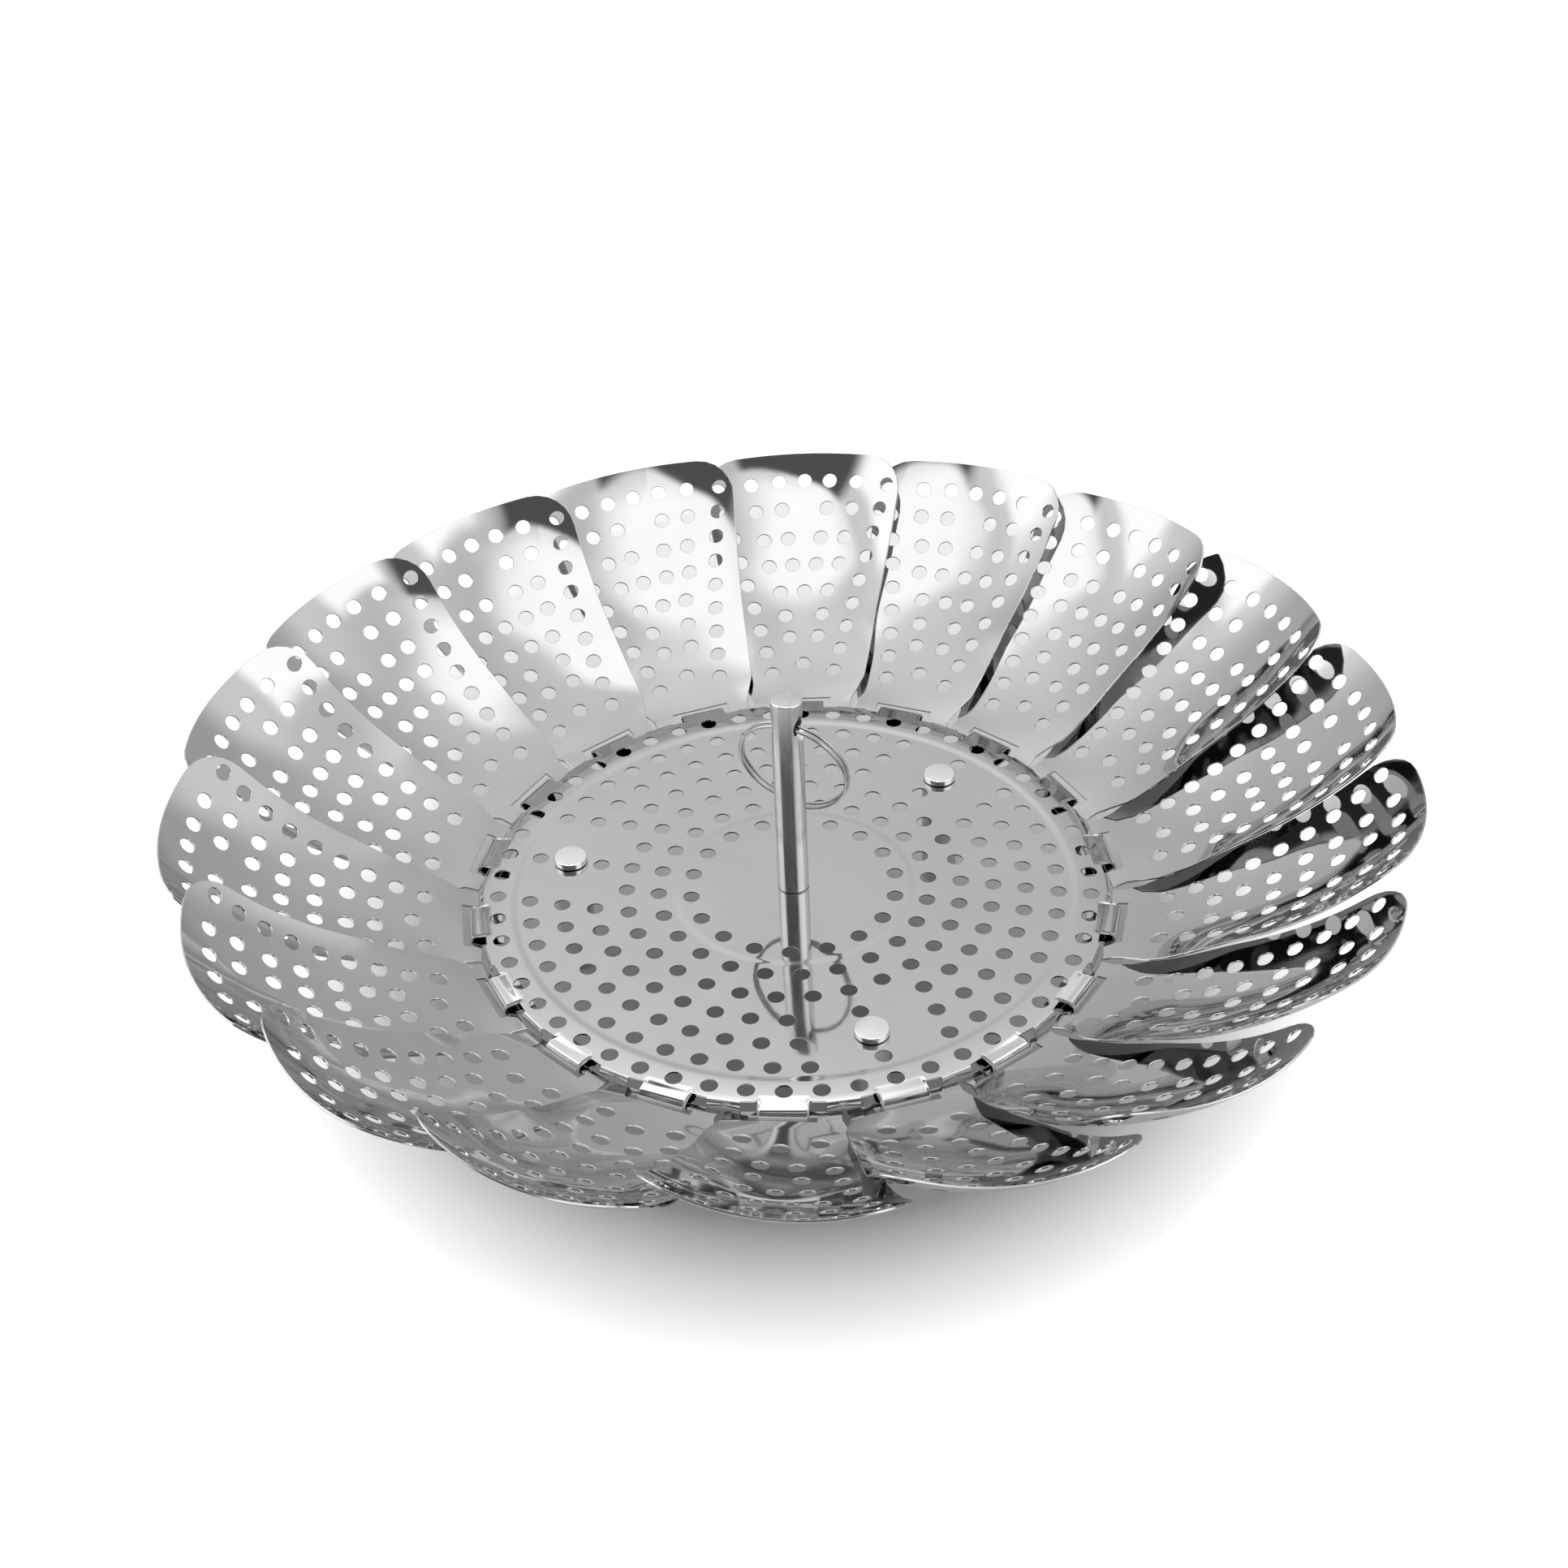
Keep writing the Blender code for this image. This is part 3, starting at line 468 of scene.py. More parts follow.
class Shading:
    """A material or world whose nodes are added by one method."""

    def __init__(self, owner):
        owner.use_nodes = True
        self.tree = owner.node_tree

    def node(self, kind, settings=None, *values, output=0, **named):
        """Add a node with its settings first, then the values or links of its sockets."""
        added = self.tree.nodes.new(kind)
        for name, value in (settings or {}).items():
            setattr(added, name, value)
        for key, value in [*enumerate(values), *((k.replace("_", " "), v) for k, v in named.items())]:
            self.put(added.inputs[key], value)
        return Reading(self, added.outputs[output])

    def put(self, socket, value):
        if isinstance(value, Reading):
            self.tree.links.new(value.socket, socket)
        elif value is not None:
            socket.default_value = value

    def blend(self, factor, first, second):
        """A mix of two colours."""
        mixed = self.tree.nodes.new("ShaderNodeMix")
        mixed.data_type = "RGBA"
        self.put(mixed.inputs[0], factor)
        self.put(mixed.inputs[6], first)
        self.put(mixed.inputs[7], second)
        return Reading(self, mixed.outputs[2])


def steel(name, base, roughness, finish):
    """A bare steel, with what its finish says for each socket."""
    material = bpy.data.materials.new(name)
    shading = Shading(material)
    surface = shading.tree.nodes["Principled BSDF"]
    surface.inputs["Metallic"].default_value = 1.0
    surface.inputs["Base Color"].default_value = (*base, 1.0)
    surface.inputs["Roughness"].default_value = roughness
    place = shading.node("ShaderNodeTexCoord", output=3)
    for socket, value in finish(place, base, roughness).items():
        shading.put(surface.inputs[socket], value)
    return material


def plate_finish(place, base, roughness):
    """Polished sheet: soft waves from pressing, fine grain, faint smudges and a rim that falls off outwards."""
    waves = place.noise(*PLATE_WAVES)
    dents = place.noise(*PLATE_DENTS)
    grain = place.noise(*PLATE_GRAIN)
    smudges = place.noise(*PLATE_SMUDGES)
    out = place.from_axis()
    past_rim = (out - RIM_FALL_START).math("MAXIMUM", 0.0)
    right, away, _ = place.parts()
    turned = away.math("ARCTAN2", right) - math.radians(FIRST_AZIMUTH)
    on_tab = (turned * len(PETALS)).math("COSINE").rise(*TAB_FALL_EDGE)
    droop = past_rim * past_rim * RIM_FALL + out.rise(*TAB_FALL_REACH) * on_tab * TAB_FALL
    height = waves * PLATE_WAVE_HEIGHT + dents * PLATE_DENT_HEIGHT + grain * GRAIN_HEIGHT - droop
    return {**smudges.patchy(base, roughness, *PLATE_PATCHES), "Normal": height.bump()}


def petal_finish(place, base, roughness):
    """Polished sheet: slow waves that bend its reflections, and faint polishing haze."""
    waves = place.noise(*PETAL_WAVES)
    dents = place.noise(*PETAL_DENTS)
    haze = place.noise(*PETAL_HAZE)
    height = waves * PETAL_WAVE_HEIGHT + dents * PETAL_DENT_HEIGHT
    return {**haze.patchy(base, roughness, *PETAL_PATCHES), "Normal": height.bump()}


def rod_finish(place, base, roughness):
    """Drawn rod: fine streaks along its length over a mottled skin."""
    streaks = place.noise(*ROD_STREAKS)
    mottle = place.noise(*ROD_MOTTLE) - 0.5
    shade, dulling = ROD_PATCHES
    return {
        "Base Color": ((streaks - 0.5) * ROD_STREAK_SHADE + mottle * shade).shaded(base),
        "Roughness": mottle * dulling + roughness,
        "Normal": streaks.bump(STREAK_DEPTH),
    }


def turned_finish(place, base, roughness):
    """Turned metal: mottled and slightly scratched."""
    mottle = place.noise(*TURNED_MOTTLE)
    shape = mottle.bump(STREAK_DEPTH, TURNED_BUMP_STRENGTH)
    return {**mottle.patchy(base, roughness, *TURNED_PATCHES), "Normal": shape}


def wire_finish(place, base, roughness):
    """Bright spring wire with faint drawing marks."""
    return place.noise(*WIRE_MOTTLE).patchy(base, roughness, *WIRE_PATCHES)


def spoke(radius, azimuth, height=0.0):
    """A point at a radius and an azimuth in degrees."""
    angle = math.radians(azimuth)
    return Vector((radius * math.cos(angle), radius * math.sin(angle), height))


def in_sector(azimuth, out, across, height):
    """A point given along and across a spoke of the plate."""
    return Matrix.Rotation(math.radians(azimuth), 3, "Z") @ Vector((out, across, height))


def placed(name, mesh):
    """A new object of the scene, standing at the origin."""
    thing = bpy.data.objects.new(name, mesh)
    bpy.context.scene.collection.objects.link(thing)
    return thing


def add_piece(name, mesh, material, body, nodes):
    """Put a finished mesh in the scene on a body of the frame."""
    mesh.name = name
    mesh.materials.clear()
    mesh.materials.append(material)
    piece = placed(name, mesh)
    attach(piece, body)
    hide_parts(*nodes)


def smoothed(mesh, angle=SHARP_ANGLE):
    """The mesh shaded smooth, with folds past the angle kept sharp."""
    mesh.shade_smooth()
    mesh.set_sharp_from_angle(angle=angle)
    return mesh


def mesh_from(bm, name, smooth=True):
    """The mesh of a bmesh, shaded smooth or flat."""
    mesh = bpy.data.meshes.new(name)
    bm.to_mesh(mesh)
    bm.free()
    return smoothed(mesh) if smooth else mesh


def read(items, name):
    """A vector of every item of a mesh, as rows of an array."""
    rows = np.empty(len(items) * 3)
    items.foreach_get(name, rows)
    return rows.reshape(-1, 3)


def new_corners(items):
    return [item for item in items if isinstance(item, bmesh.types.BMVert)]


def new_edges(items):
    return [item for item in items if isinstance(item, bmesh.types.BMEdge)]


def corners_of(edges):
    """The corners of some edges, each once and in the edges' order."""
    return list(dict.fromkeys(corner for edge in edges for corner in edge.verts))


def chain(bm, points):
    """An open run of edges through the points."""
    corners = [bm.verts.new(point) for point in points]
    return [bm.edges.new(pair) for pair in zip(corners, corners[1:])]


def loop(bm, points):
    """A closed loop of edges through the points."""
    corners = [bm.verts.new(point) for point in points]
    return [bm.edges.new((corners[i - 1], corners[i])) for i in range(len(corners))]


def circle(radius, height, sides, azimuth=0.0):
    return [spoke(radius, azimuth + 360.0 * i / sides, height) for i in range(sides)]


def turn(bm, profile, sides, place=Vector(), closed=False):
    """Turn a profile of radius and height about a vertical axis through the place."""
    points = [place + Vector((radius, 0.0, height)) for radius, height in profile]
    edges = loop(bm, points) if closed else chain(bm, points)
    bmesh.ops.spin(bm, geom=[*corners_of(edges), *edges], cent=place, axis=(0.0, 0.0, 1.0), angle=math.tau,
                   steps=sides, use_merge=True)


def close_up(bm):
    """Merge the poles and seams of a closed shape and turn its faces outwards."""
    bmesh.ops.remove_doubles(bm, verts=bm.verts[:], dist=MERGE_DISTANCE)
    bmesh.ops.dissolve_degenerate(bm, edges=bm.edges[:], dist=MERGE_DISTANCE / 2)
    bmesh.ops.recalc_face_normals(bm, faces=bm.faces[:])


def turned_mesh(name, profile, sides, place=Vector(), closed=False, smooth=True):
    """A solid turned about a vertical axis."""
    bm = bmesh.new()
    turn(bm, profile, sides, place, closed)
    close_up(bm)
    return mesh_from(bm, name, smooth)


def finished(mesh, *modifiers):
    """The mesh with modifiers applied, each given as its type and settings."""
    thing = placed("finished", mesh)
    for kind, settings in modifiers:
        modifier = thing.modifiers.new(kind.lower(), kind)
        for name, value in settings.items():
            setattr(modifier, name, value)
    graph = bpy.context.evaluated_depsgraph_get()
    result = bpy.data.meshes.new_from_object(thing.evaluated_get(graph))
    bpy.data.objects.remove(thing, do_unlink=True)
    return result


def carved(mesh, tool, operation="DIFFERENCE"):
    """The mesh with a second closed mesh cut from it or kept within it."""
    cutter = placed("carver", tool)
    result = finished(mesh, ("BOOLEAN", {"operation": operation, "solver": "EXACT", "object": cutter}))
    bpy.data.objects.remove(cutter, do_unlink=True)
    return result


def ring_radius(sizes, ring):
    return sizes.first_ring + sizes.ring_pitch * (ring - 1)


def cell_hole(sizes, ring, turned):
    """Diameter of a ring's hole, turned from the first foot: none beside a rivet, and the rivet's own under it."""
    pitch = 360.0 / ring_holes(sizes, ring)
    foot_pitch = 360.0 / len(FEET)
    from_foot = abs(turned / foot_pitch - round(turned / foot_pitch)) * foot_pitch
    on_spoke = from_foot < pitch * 0.5
    beside = from_foot < pitch * 1.5
    if ring == RIVET_RING and on_spoke:
        return sizes.rivet_hole
    if beside and (ring == RIVET_RING or abs(ring - RIVET_RING) == 1 and not on_spoke):
        return 0.0
    return sizes.hole_diameter


def ring_holes(sizes, ring):
    return sizes.first_ring_holes + sizes.holes_added * (ring - 1)


def cell(bm, sizes, radius, azimuth, half_angle, height, hole):
    """A patch of the flat sheet round one place of a ring, with or without its hole."""
    steps = sizes.hole_sides // 4
    shares = [2.0 * i / steps - 1.0 for i in range(steps)]
    border = []
    for reach, angle in ((sizes.patch / 2, half_angle), (-sizes.patch / 2, -half_angle)):
        border += [spoke(radius - reach, azimuth + angle * share, height) for share in shares]
        border += [spoke(radius + reach * share, azimuth + angle, height) for share in shares]
    outside = loop(bm, border)
    if hole:
        centre = spoke(radius, azimuth, height)
        inside = loop(bm, [centre + corner for corner in circle(hole / 2, 0.0, sizes.hole_sides, azimuth)])
        bmesh.ops.bridge_loops(bm, edges=outside + inside)
    else:
        bmesh.ops.contextual_create(bm, geom=outside)


def ring_of_cells(bm, sizes, ring, height):
    """A ring of patches, returned as its inner and outer loops of edges."""
    radius = ring_radius(sizes, ring)
    holes = ring_holes(sizes, ring)
    before = set(bm.verts)
    for i in range(holes):
        turned = 360.0 / holes * i
        hole = cell_hole(sizes, ring, turned)
        cell(bm, sizes, radius, FOOT_AZIMUTH + turned, 180.0 / holes, height, hole)
    new = [corner for corner in bm.verts if corner not in before]
    bmesh.ops.remove_doubles(bm, verts=new, dist=MERGE_DISTANCE)
    level = [edge for edge in bm.edges if edge.is_boundary and abs(edge.verts[0].co.z - height) < MERGE_DISTANCE]
    return at_radius(level, radius - sizes.patch / 2), at_radius(level, radius + sizes.patch / 2)


def fill_between(bm, first, second):
    """Fill the flat ring between two loops, in sectors that end on the spokes where both have a corner."""
    start = math.radians(FOOT_AZIMUTH)
    sector = math.radians(360.0 / SPOKES)

    def turned(place):
        return (math.atan2(place.y, place.x) - start) % math.tau

    def corner_at(edges, angle):
        aim = Vector((math.cos(start + angle), math.sin(start + angle)))
        return max(corners_of(edges), key=lambda corner: corner.co.to_2d().normalized().dot(aim))

    spokes = [bm.edges.new((corner_at(first, sector * i), corner_at(second, sector * i))) for i in range(SPOKES)]
    for i in range(SPOKES):
        run = [edge for edge in first + second
               if int(turned((edge.verts[0].co + edge.verts[1].co) / 2) / sector) == i]
        bmesh.ops.edgeloop_fill(bm, edges=[*run, spokes[i], spokes[(i + 1) % SPOKES]])


def at_radius(edges, radius):
    return [edge for edge in edges if all(abs(corner.co.xy.length - radius) < RADIUS_PLAY for corner in edge.verts)]


def edge_outline(sizes):
    """The sheet's edge at the roots of its tabs and lips, as runs of points that end at the notches."""
    tabs, lips, points = [], [], []
    notch = HINGE_RADIUS - sizes.notch_depth
    half_tab, half_lip = sizes.tab_width / 2, sizes.lip_width / 2
    lip_root = (notch - half_lip * math.sin(HALF_SECTOR)) / math.cos(HALF_SECTOR)

    def run(azimuth, out, half, steps):
        return [in_sector(azimuth, out, half * (2.0 * k / steps - 1.0), RIM_TOP) for k in range(steps + 1)]

    for i in range(len(PETALS)):
        azimuth = FIRST_AZIMUTH + SECTOR * i
        tab = run(azimuth, notch, half_tab, TAB_STEPS)
        lip = run(azimuth + SECTOR / 2, lip_root, half_lip, LIP_STEPS)
        next_corner = in_sector(azimuth + SECTOR, notch, -half_tab, RIM_TOP)
        tabs.append(range(len(points), len(points) + TAB_STEPS))
        points += tab + [(tab[-1] + lip[0]) / 2]
        lips.append(range(len(points), len(points) + LIP_STEPS))
        points += lip + [(lip[-1] + next_corner) / 2]
    return points, tabs, lips


def grow_to(bm, edges, points):
    """Extrude a closed loop of edges on to as many points, and return the new edges in the points' order."""
    corners = new_corners(bmesh.ops.extrude_edge_only(bm, edges=edges)["geom"])
    start = math.atan2(points[0].y, points[0].x) - math.pi / len(points)
    corners.sort(key=lambda corner: (math.atan2(corner.co.y, corner.co.x) - start) % math.tau)
    for corner, point in zip(corners, points):
        corner.co = point
    return [bm.edges.get(pair) for pair in zip(corners, corners[1:] + corners[:1])]


def run_on(bm, edges, shift):
    """Extrude edges straight on and return the new ones."""
    made = bmesh.ops.extrude_edge_only(bm, edges=edges)["geom"]
    corners = new_corners(made)
    bmesh.ops.translate(bm, verts=corners, vec=shift)
    return [edge for edge in new_edges(made) if all(corner in corners for corner in edge.verts)]


def bend_down(bm, edges, azimuth, run, fold, bend, angle, steps, tail, guard):
    """Run the sheet on to its fold line, bend it down, and run it straight on."""
    outward = in_sector(azimuth, 1.0, 0.0, 0.0)
    axis = in_sector(azimuth, 0.0, 1.0, 0.0)
    if run > guard:
        edges = run_on(bm, edges, outward * (run - guard))
    edges = run_on(bm, edges, outward * min(run, guard))
    centre = in_sector(azimuth, fold, 0.0, RIM_TOP - bend)
    spun = bmesh.ops.spin(bm, geom=[*edges, *corners_of(edges)], cent=centre, axis=axis, angle=angle, steps=steps)
    heading = Matrix.Rotation(angle, 3, axis) @ outward
    run_on(bm, run_on(bm, new_edges(spun["geom_last"]), heading * guard), heading * (tail - guard))


def pressed_step(bm, outer, inner, sizes, radius, outer_height, inner_height):
    """Join two flat zones by a pressed step with a rounded profile and a flat border on each side."""
    half = sizes.step_width / 2

    def points(out, height):
        return circle(out, height, sizes.step_sides, FOOT_AZIMUTH)

    border = loop(bm, points(radius + half + sizes.guard, outer_height))
    edges = border
    for share in PRESSED_SHARES:
        height = outer_height + (inner_height - outer_height) * float(ease(share))
        edges = grow_to(bm, edges, points(radius + half - sizes.step_width * share, height))
    edges = grow_to(bm, edges, points(radius - half - sizes.guard, inner_height))
    fill_between(bm, outer, border)
    fill_between(bm, inner, edges)


def plate_mesh(sizes):
    """The perforated plate as one pressed sheet."""
    bm = bmesh.new()
    field_top = RIM_TOP - sizes.rim_step
    disc_top = field_top + sizes.disc_step
    last = sizes.rings
    disc_radius = (ring_radius(sizes, 1) + ring_radius(sizes, 2)) / 2
    rim_radius = (ring_radius(sizes, last - 1) + ring_radius(sizes, last)) / 2
    heights = [disc_top] + [field_top] * (last - 2) + [RIM_TOP]
    loops = [ring_of_cells(bm, sizes, ring, height) for ring, height in enumerate(heights, 1)]
    stud = loop(bm, circle(sizes.stud_hole / 2, disc_top, sizes.hole_sides, FOOT_AZIMUTH))
    fill_between(bm, stud, loops[0][0])
    pressed_step(bm, loops[1][0], loops[0][1], sizes, disc_radius, field_top, disc_top)
    for inner, outer in zip(loops[1:last - 2], loops[2:last - 1]):
        fill_between(bm, inner[1], outer[0])
    pressed_step(bm, loops[-1][0], loops[-2][1], sizes, rim_radius, RIM_TOP, field_top)
    points, tabs, lips = edge_outline(sizes)
    edge = grow_to(bm, loops[-1][1], points)
    lip_run = sizes.lip_face - sizes.lip_bend - points[lips[0][0]].dot(spoke(1.0, FIRST_AZIMUTH + SECTOR / 2))
    for i in range(len(PETALS)):
        azimuth = FIRST_AZIMUTH + SECTOR * i
        bend_down(bm, [edge[k] for k in tabs[i]], azimuth, sizes.notch_depth, HINGE_RADIUS, CURL_RADIUS, math.pi,
                  TAB_CURL_STEPS, sizes.tab_tail, sizes.guard)
        bend_down(bm, [edge[k] for k in lips[i]], azimuth + SECTOR / 2, lip_run, sizes.lip_face - sizes.lip_bend,
                  sizes.lip_bend, math.pi / 2, LIP_BEND_STEPS, sizes.lip_drop, sizes.guard)
    bmesh.ops.remove_doubles(bm, verts=bm.verts[:], dist=MERGE_DISTANCE)
    bmesh.ops.recalc_face_normals(bm, faces=bm.faces[:])
    highest = max(bm.faces, key=lambda face: face.calc_center_median().z)
    if highest.normal.z < 0.0:
        bmesh.ops.reverse_faces(bm, faces=bm.faces[:])
    mesh = mesh_from(bm, "base_plate")
    wall = ("SOLIDIFY", {"thickness": sizes.sheet, "offset": -1.0, "use_even_offset": True})
    edges = ("BEVEL", {"width": sizes.edge, "segments": PUNCHED_EDGE_STEPS, "limit_method": "ANGLE",
                       "angle_limit": SHARP_ANGLE, "harden_normals": True, "use_clamp_overlap": True})
    return finished(mesh, wall, edges)


def ease(share):
    """A smooth rise from 0 to 1."""
    share = np.clip(share, 0.0, 1.0)
    return share * share * (3.0 - 2.0 * share)


class Press:
    """The shape that a flat petal blank is pressed to, seen from its hinge line."""

    def __init__(self, sizes):
        self.sizes = sizes
        self.stations = np.linspace(0.0, sizes.length * PRESS_REACH, PRESS_STATIONS)
        middle = (self.stations[1:] + self.stations[:-1]) / 2
        step = self.stations[1] - self.stations[0]
        slopes = self.slope(middle)
        self.out = np.concatenate(([0.0], np.cumsum(np.cos(slopes) * step)))
        self.up = np.concatenate(([0.0], np.cumsum(np.sin(slopes) * step)))

    def slope(self, along):
        """The sheet's slope at distances from the hinge."""
        sizes = self.sizes
        share = np.maximum(along, 0.0) / sizes.length
        steepening = math.radians(sizes.tip_slope - sizes.root_slope)
        return math.radians(sizes.root_slope) + steepening * share ** sizes.slope_power

    def place(self, along, across, through):
        """Where points of the flat blank go."""
        sizes = self.sizes
        slope = self.slope(along)
        before = np.minimum(along, 0.0)
        root = math.radians(sizes.root_slope)
        out = np.interp(along, self.stations, self.out) + before * math.cos(root)
        up = np.interp(along, self.stations, self.up) + before * math.sin(root)
        cup = ease((along - sizes.cup_start) / (sizes.cup_end - sizes.cup_start)) / sizes.cup_radius + FLATTEST_CUP
        lean = sizes.root_lean * ease(along / sizes.twist_start)
        lean = lean + (sizes.tip_lean - sizes.root_lean) * np.maximum(along, 0.0) / sizes.length
        turned = across * cup
        side = np.sin(turned) / cup - through * np.sin(turned)
        above = (1.0 - np.cos(turned)) / cup + through * np.cos(turned)
        leaned_side = side * np.cos(lean) + above * np.sin(lean)
        leaned_above = above * np.cos(lean) - side * np.sin(lean)
        out, up = out - np.sin(slope) * leaned_above, up + np.cos(slope) * leaned_above
        return np.stack((out, leaned_side, up), axis=1)

    def turned_normals(self, points, normals):
        """How normals of the flat blank stand after pressing."""
        columns = []
        for axis, step in enumerate(PRESS_NORMAL_STEPS):
            shift = np.zeros(3)
            shift[axis] = step
            ahead = self.place(*(points + shift).T)
            behind = self.place(*(points - shift).T)
            columns.append((ahead - behind) / (2.0 * step))
        along, across, through = columns
        turned = (normals[:, :1] * np.cross(across, through) + normals[:, 1:2] * np.cross(through, along)
                  + normals[:, 2:] * np.cross(along, across))
        return turned / np.linalg.norm(turned, axis=1, keepdims=True)


def half_width(sizes, along):
    """Half the width of the flat blank at a distance from the hinge."""
    root = HINGE_RADIUS * math.tan(HALF_SECTOR) - sizes.root_gap / 2
    stations = (sizes.flare_start, sizes.flare_end, sizes.length)
    return float(np.interp(along, stations, (root, root + sizes.flare_spread, tip_half_width(sizes))))


def tip_half_width(sizes):
    return (HINGE_RADIUS + sizes.length) * math.tan(HALF_SECTOR) + sizes.overlap


def tip_along(sizes, share):
    """Length of the blank at a share of its half width: an arched rim with rounded corners."""
    half = tip_half_width(sizes)
    corner = max(abs(share) * half - (half - sizes.corner), 0.0) / sizes.corner
    rounding = sizes.corner * (1.0 - math.sqrt(max(1.0 - corner * corner, 0.0)))
    return sizes.length - sizes.rim_sagitta * share * share - rounding


def column_shares(sizes):
    """Shares of the half width, even over the middle and along the arcs of the corners."""
    straight = 1.0 - sizes.corner / tip_half_width(sizes)
    arc_steps = sizes.columns // 4
    flat_steps = sizes.columns // 2 - arc_steps
    inner = [straight * i / flat_steps for i in range(flat_steps)]
    outer = [straight + (1.0 - straight) * math.sin(math.pi / 2 * i / arc_steps) for i in range(arc_steps + 1)]
    right = inner + outer
    return [-share for share in reversed(right[1:])] + right


def blank_mesh(sizes):
    """The flat blank of a petal, with its outline chamfered."""
    shares = column_shares(sizes)
    bm = bmesh.new()
    bmesh.ops.create_grid(bm, x_segments=len(shares) - 1, y_segments=sizes.rows, size=1.0)
    starts = [-sizes.strip, 0.0, sizes.flare_start, (sizes.flare_start + sizes.flare_end) / 2]
    ordered = sorted(bm.verts, key=lambda corner: (round((corner.co.y + 1.0) * sizes.rows / 2), corner.co.x))
    for i, corner in enumerate(ordered):
        share = shares[i % len(shares)]
        row = i // len(shares)
        if row < len(starts):
            along = starts[row]
        else:
            advance = (row - len(starts)) / (sizes.rows - len(starts))
            along = sizes.flare_end + (tip_along(sizes, share) - sizes.flare_end) * advance
        corner.co = (along, share * half_width(sizes, along), 0.0)
    raised = new_corners(bmesh.ops.extrude_face_region(bm, geom=bm.faces[:])["geom"])
    bmesh.ops.translate(bm, verts=raised, vec=(0.0, 0.0, sizes.sheet))
    bmesh.ops.translate(bm, verts=bm.verts[:], vec=(0.0, 0.0, -sizes.sheet / 2))
    bmesh.ops.recalc_face_normals(bm, faces=bm.faces[:])
    sharp = [edge for edge in bm.edges if edge.calc_face_angle(0.0) > BLANK_EDGE_ANGLE
             and abs(edge.verts[0].co.z - edge.verts[1].co.z) < MERGE_DISTANCE]
    bmesh.ops.bevel(bm, geom=sharp, offset=sizes.edge, offset_type="OFFSET", segments=1, profile=0.5,
                    affect="EDGES", clamp_overlap=True, material=-1)
    return mesh_from(bm, "petal_blank", smooth=False)


def petal_holes(sizes):
    """Places of a petal's holes, along and across the flat blank."""
    places = []
    half = tip_half_width(sizes)
    for i in range(sizes.margin_holes):
        share = i / (sizes.margin_holes - 1)
        along = sizes.margin_first + (sizes.margin_last - sizes.margin_first) * share
        across = sizes.margin_near + (sizes.margin_far - sizes.margin_near) * share
        across -= sizes.margin_bow * 4.0 * share * (1.0 - share)
        places += [(along, across), (along, -across)]
    for along_share, across_shares in HOLE_ROW_SHARES:
        for across_share in across_shares:
            across = across_share * half
            along = along_share * sizes.length - across * across / (2.0 * sizes.row_bow)
            places += [(along, across), (along, -across)] if across_share else [(along, 0.0)]
    return places


def punch_mesh(sizes):
    """The punches of the holes, each flared to the sheet's faces, and of the tab's slot."""
    bm = bmesh.new()
    face = sizes.sheet / 2
    radius = sizes.hole_diameter / 2
    reach = face + OVERRUN
    wide = radius + sizes.edge + OVERRUN
    profile = ((0.0, reach), (wide, reach), (radius, face - sizes.edge), (radius, sizes.edge - face),
               (wide, -reach), (0.0, -reach))
    for along, across in petal_holes(sizes):
        turn(bm, profile, sizes.hole_sides, Vector((along, across, 0.0)))
    slot_end = CURL_RADIUS + sizes.slot_end
    slot_length = slot_end - sizes.strip
    tab_width = bpy.context.scene.steamer_plate.tab_width
    place = Matrix.Translation((sizes.strip + slot_length / 2, 0.0, 0.0))
    size = Matrix.Diagonal((slot_length, tab_width + sizes.slot_side * 2, reach * 2, 1.0))
    bmesh.ops.create_cube(bm, size=1.0, matrix=place @ size)
    close_up(bm)
    return mesh_from(bm, "petal_punch", smooth=False)


def petal_mesh(sizes):
    """One petal about its hinge line, punched flat and then pressed, with the normals of the pressed sheet."""
    mesh = carved(blank_mesh(sizes), punch_mesh(sizes))
    bm = bmesh.new()
    bm.from_mesh(mesh)
    bmesh.ops.remove_doubles(bm, verts=bm.verts[:], dist=MERGE_DISTANCE)
    bmesh.ops.triangulate(bm, faces=bm.faces[:])
    mesh = mesh_from(bm, "petal")
    press = Press(sizes)
    flat = read(mesh.vertices, "co")
    corners = np.empty(len(mesh.loops), dtype=np.int64)
    mesh.loops.foreach_get("vertex_index", corners)
    normals = press.turned_normals(flat[corners], read(mesh.corner_normals, "vector"))
    mesh.vertices.foreach_set("co", press.place(*flat.T).ravel())
    mesh.update()
    mesh.normals_split_custom_set(normals.tolist())
    return mesh


def hinge_matrix(azimuth):
    """Where the hinge line at an azimuth stands."""
    place = Matrix.Translation(spoke(HINGE_RADIUS, azimuth, HINGE_HEIGHT))
    return place @ Matrix.Rotation(math.radians(azimuth), 4, "Z")


def rounded(radius, height, edge):
    """Points of a rounded outer corner, from the top face down to the side."""
    angles = [math.pi / 2 * i / EDGE_STEPS for i in range(EDGE_STEPS + 1)]
    return [(radius - edge + edge * math.sin(angle), height - edge + edge * math.cos(angle)) for angle in angles]


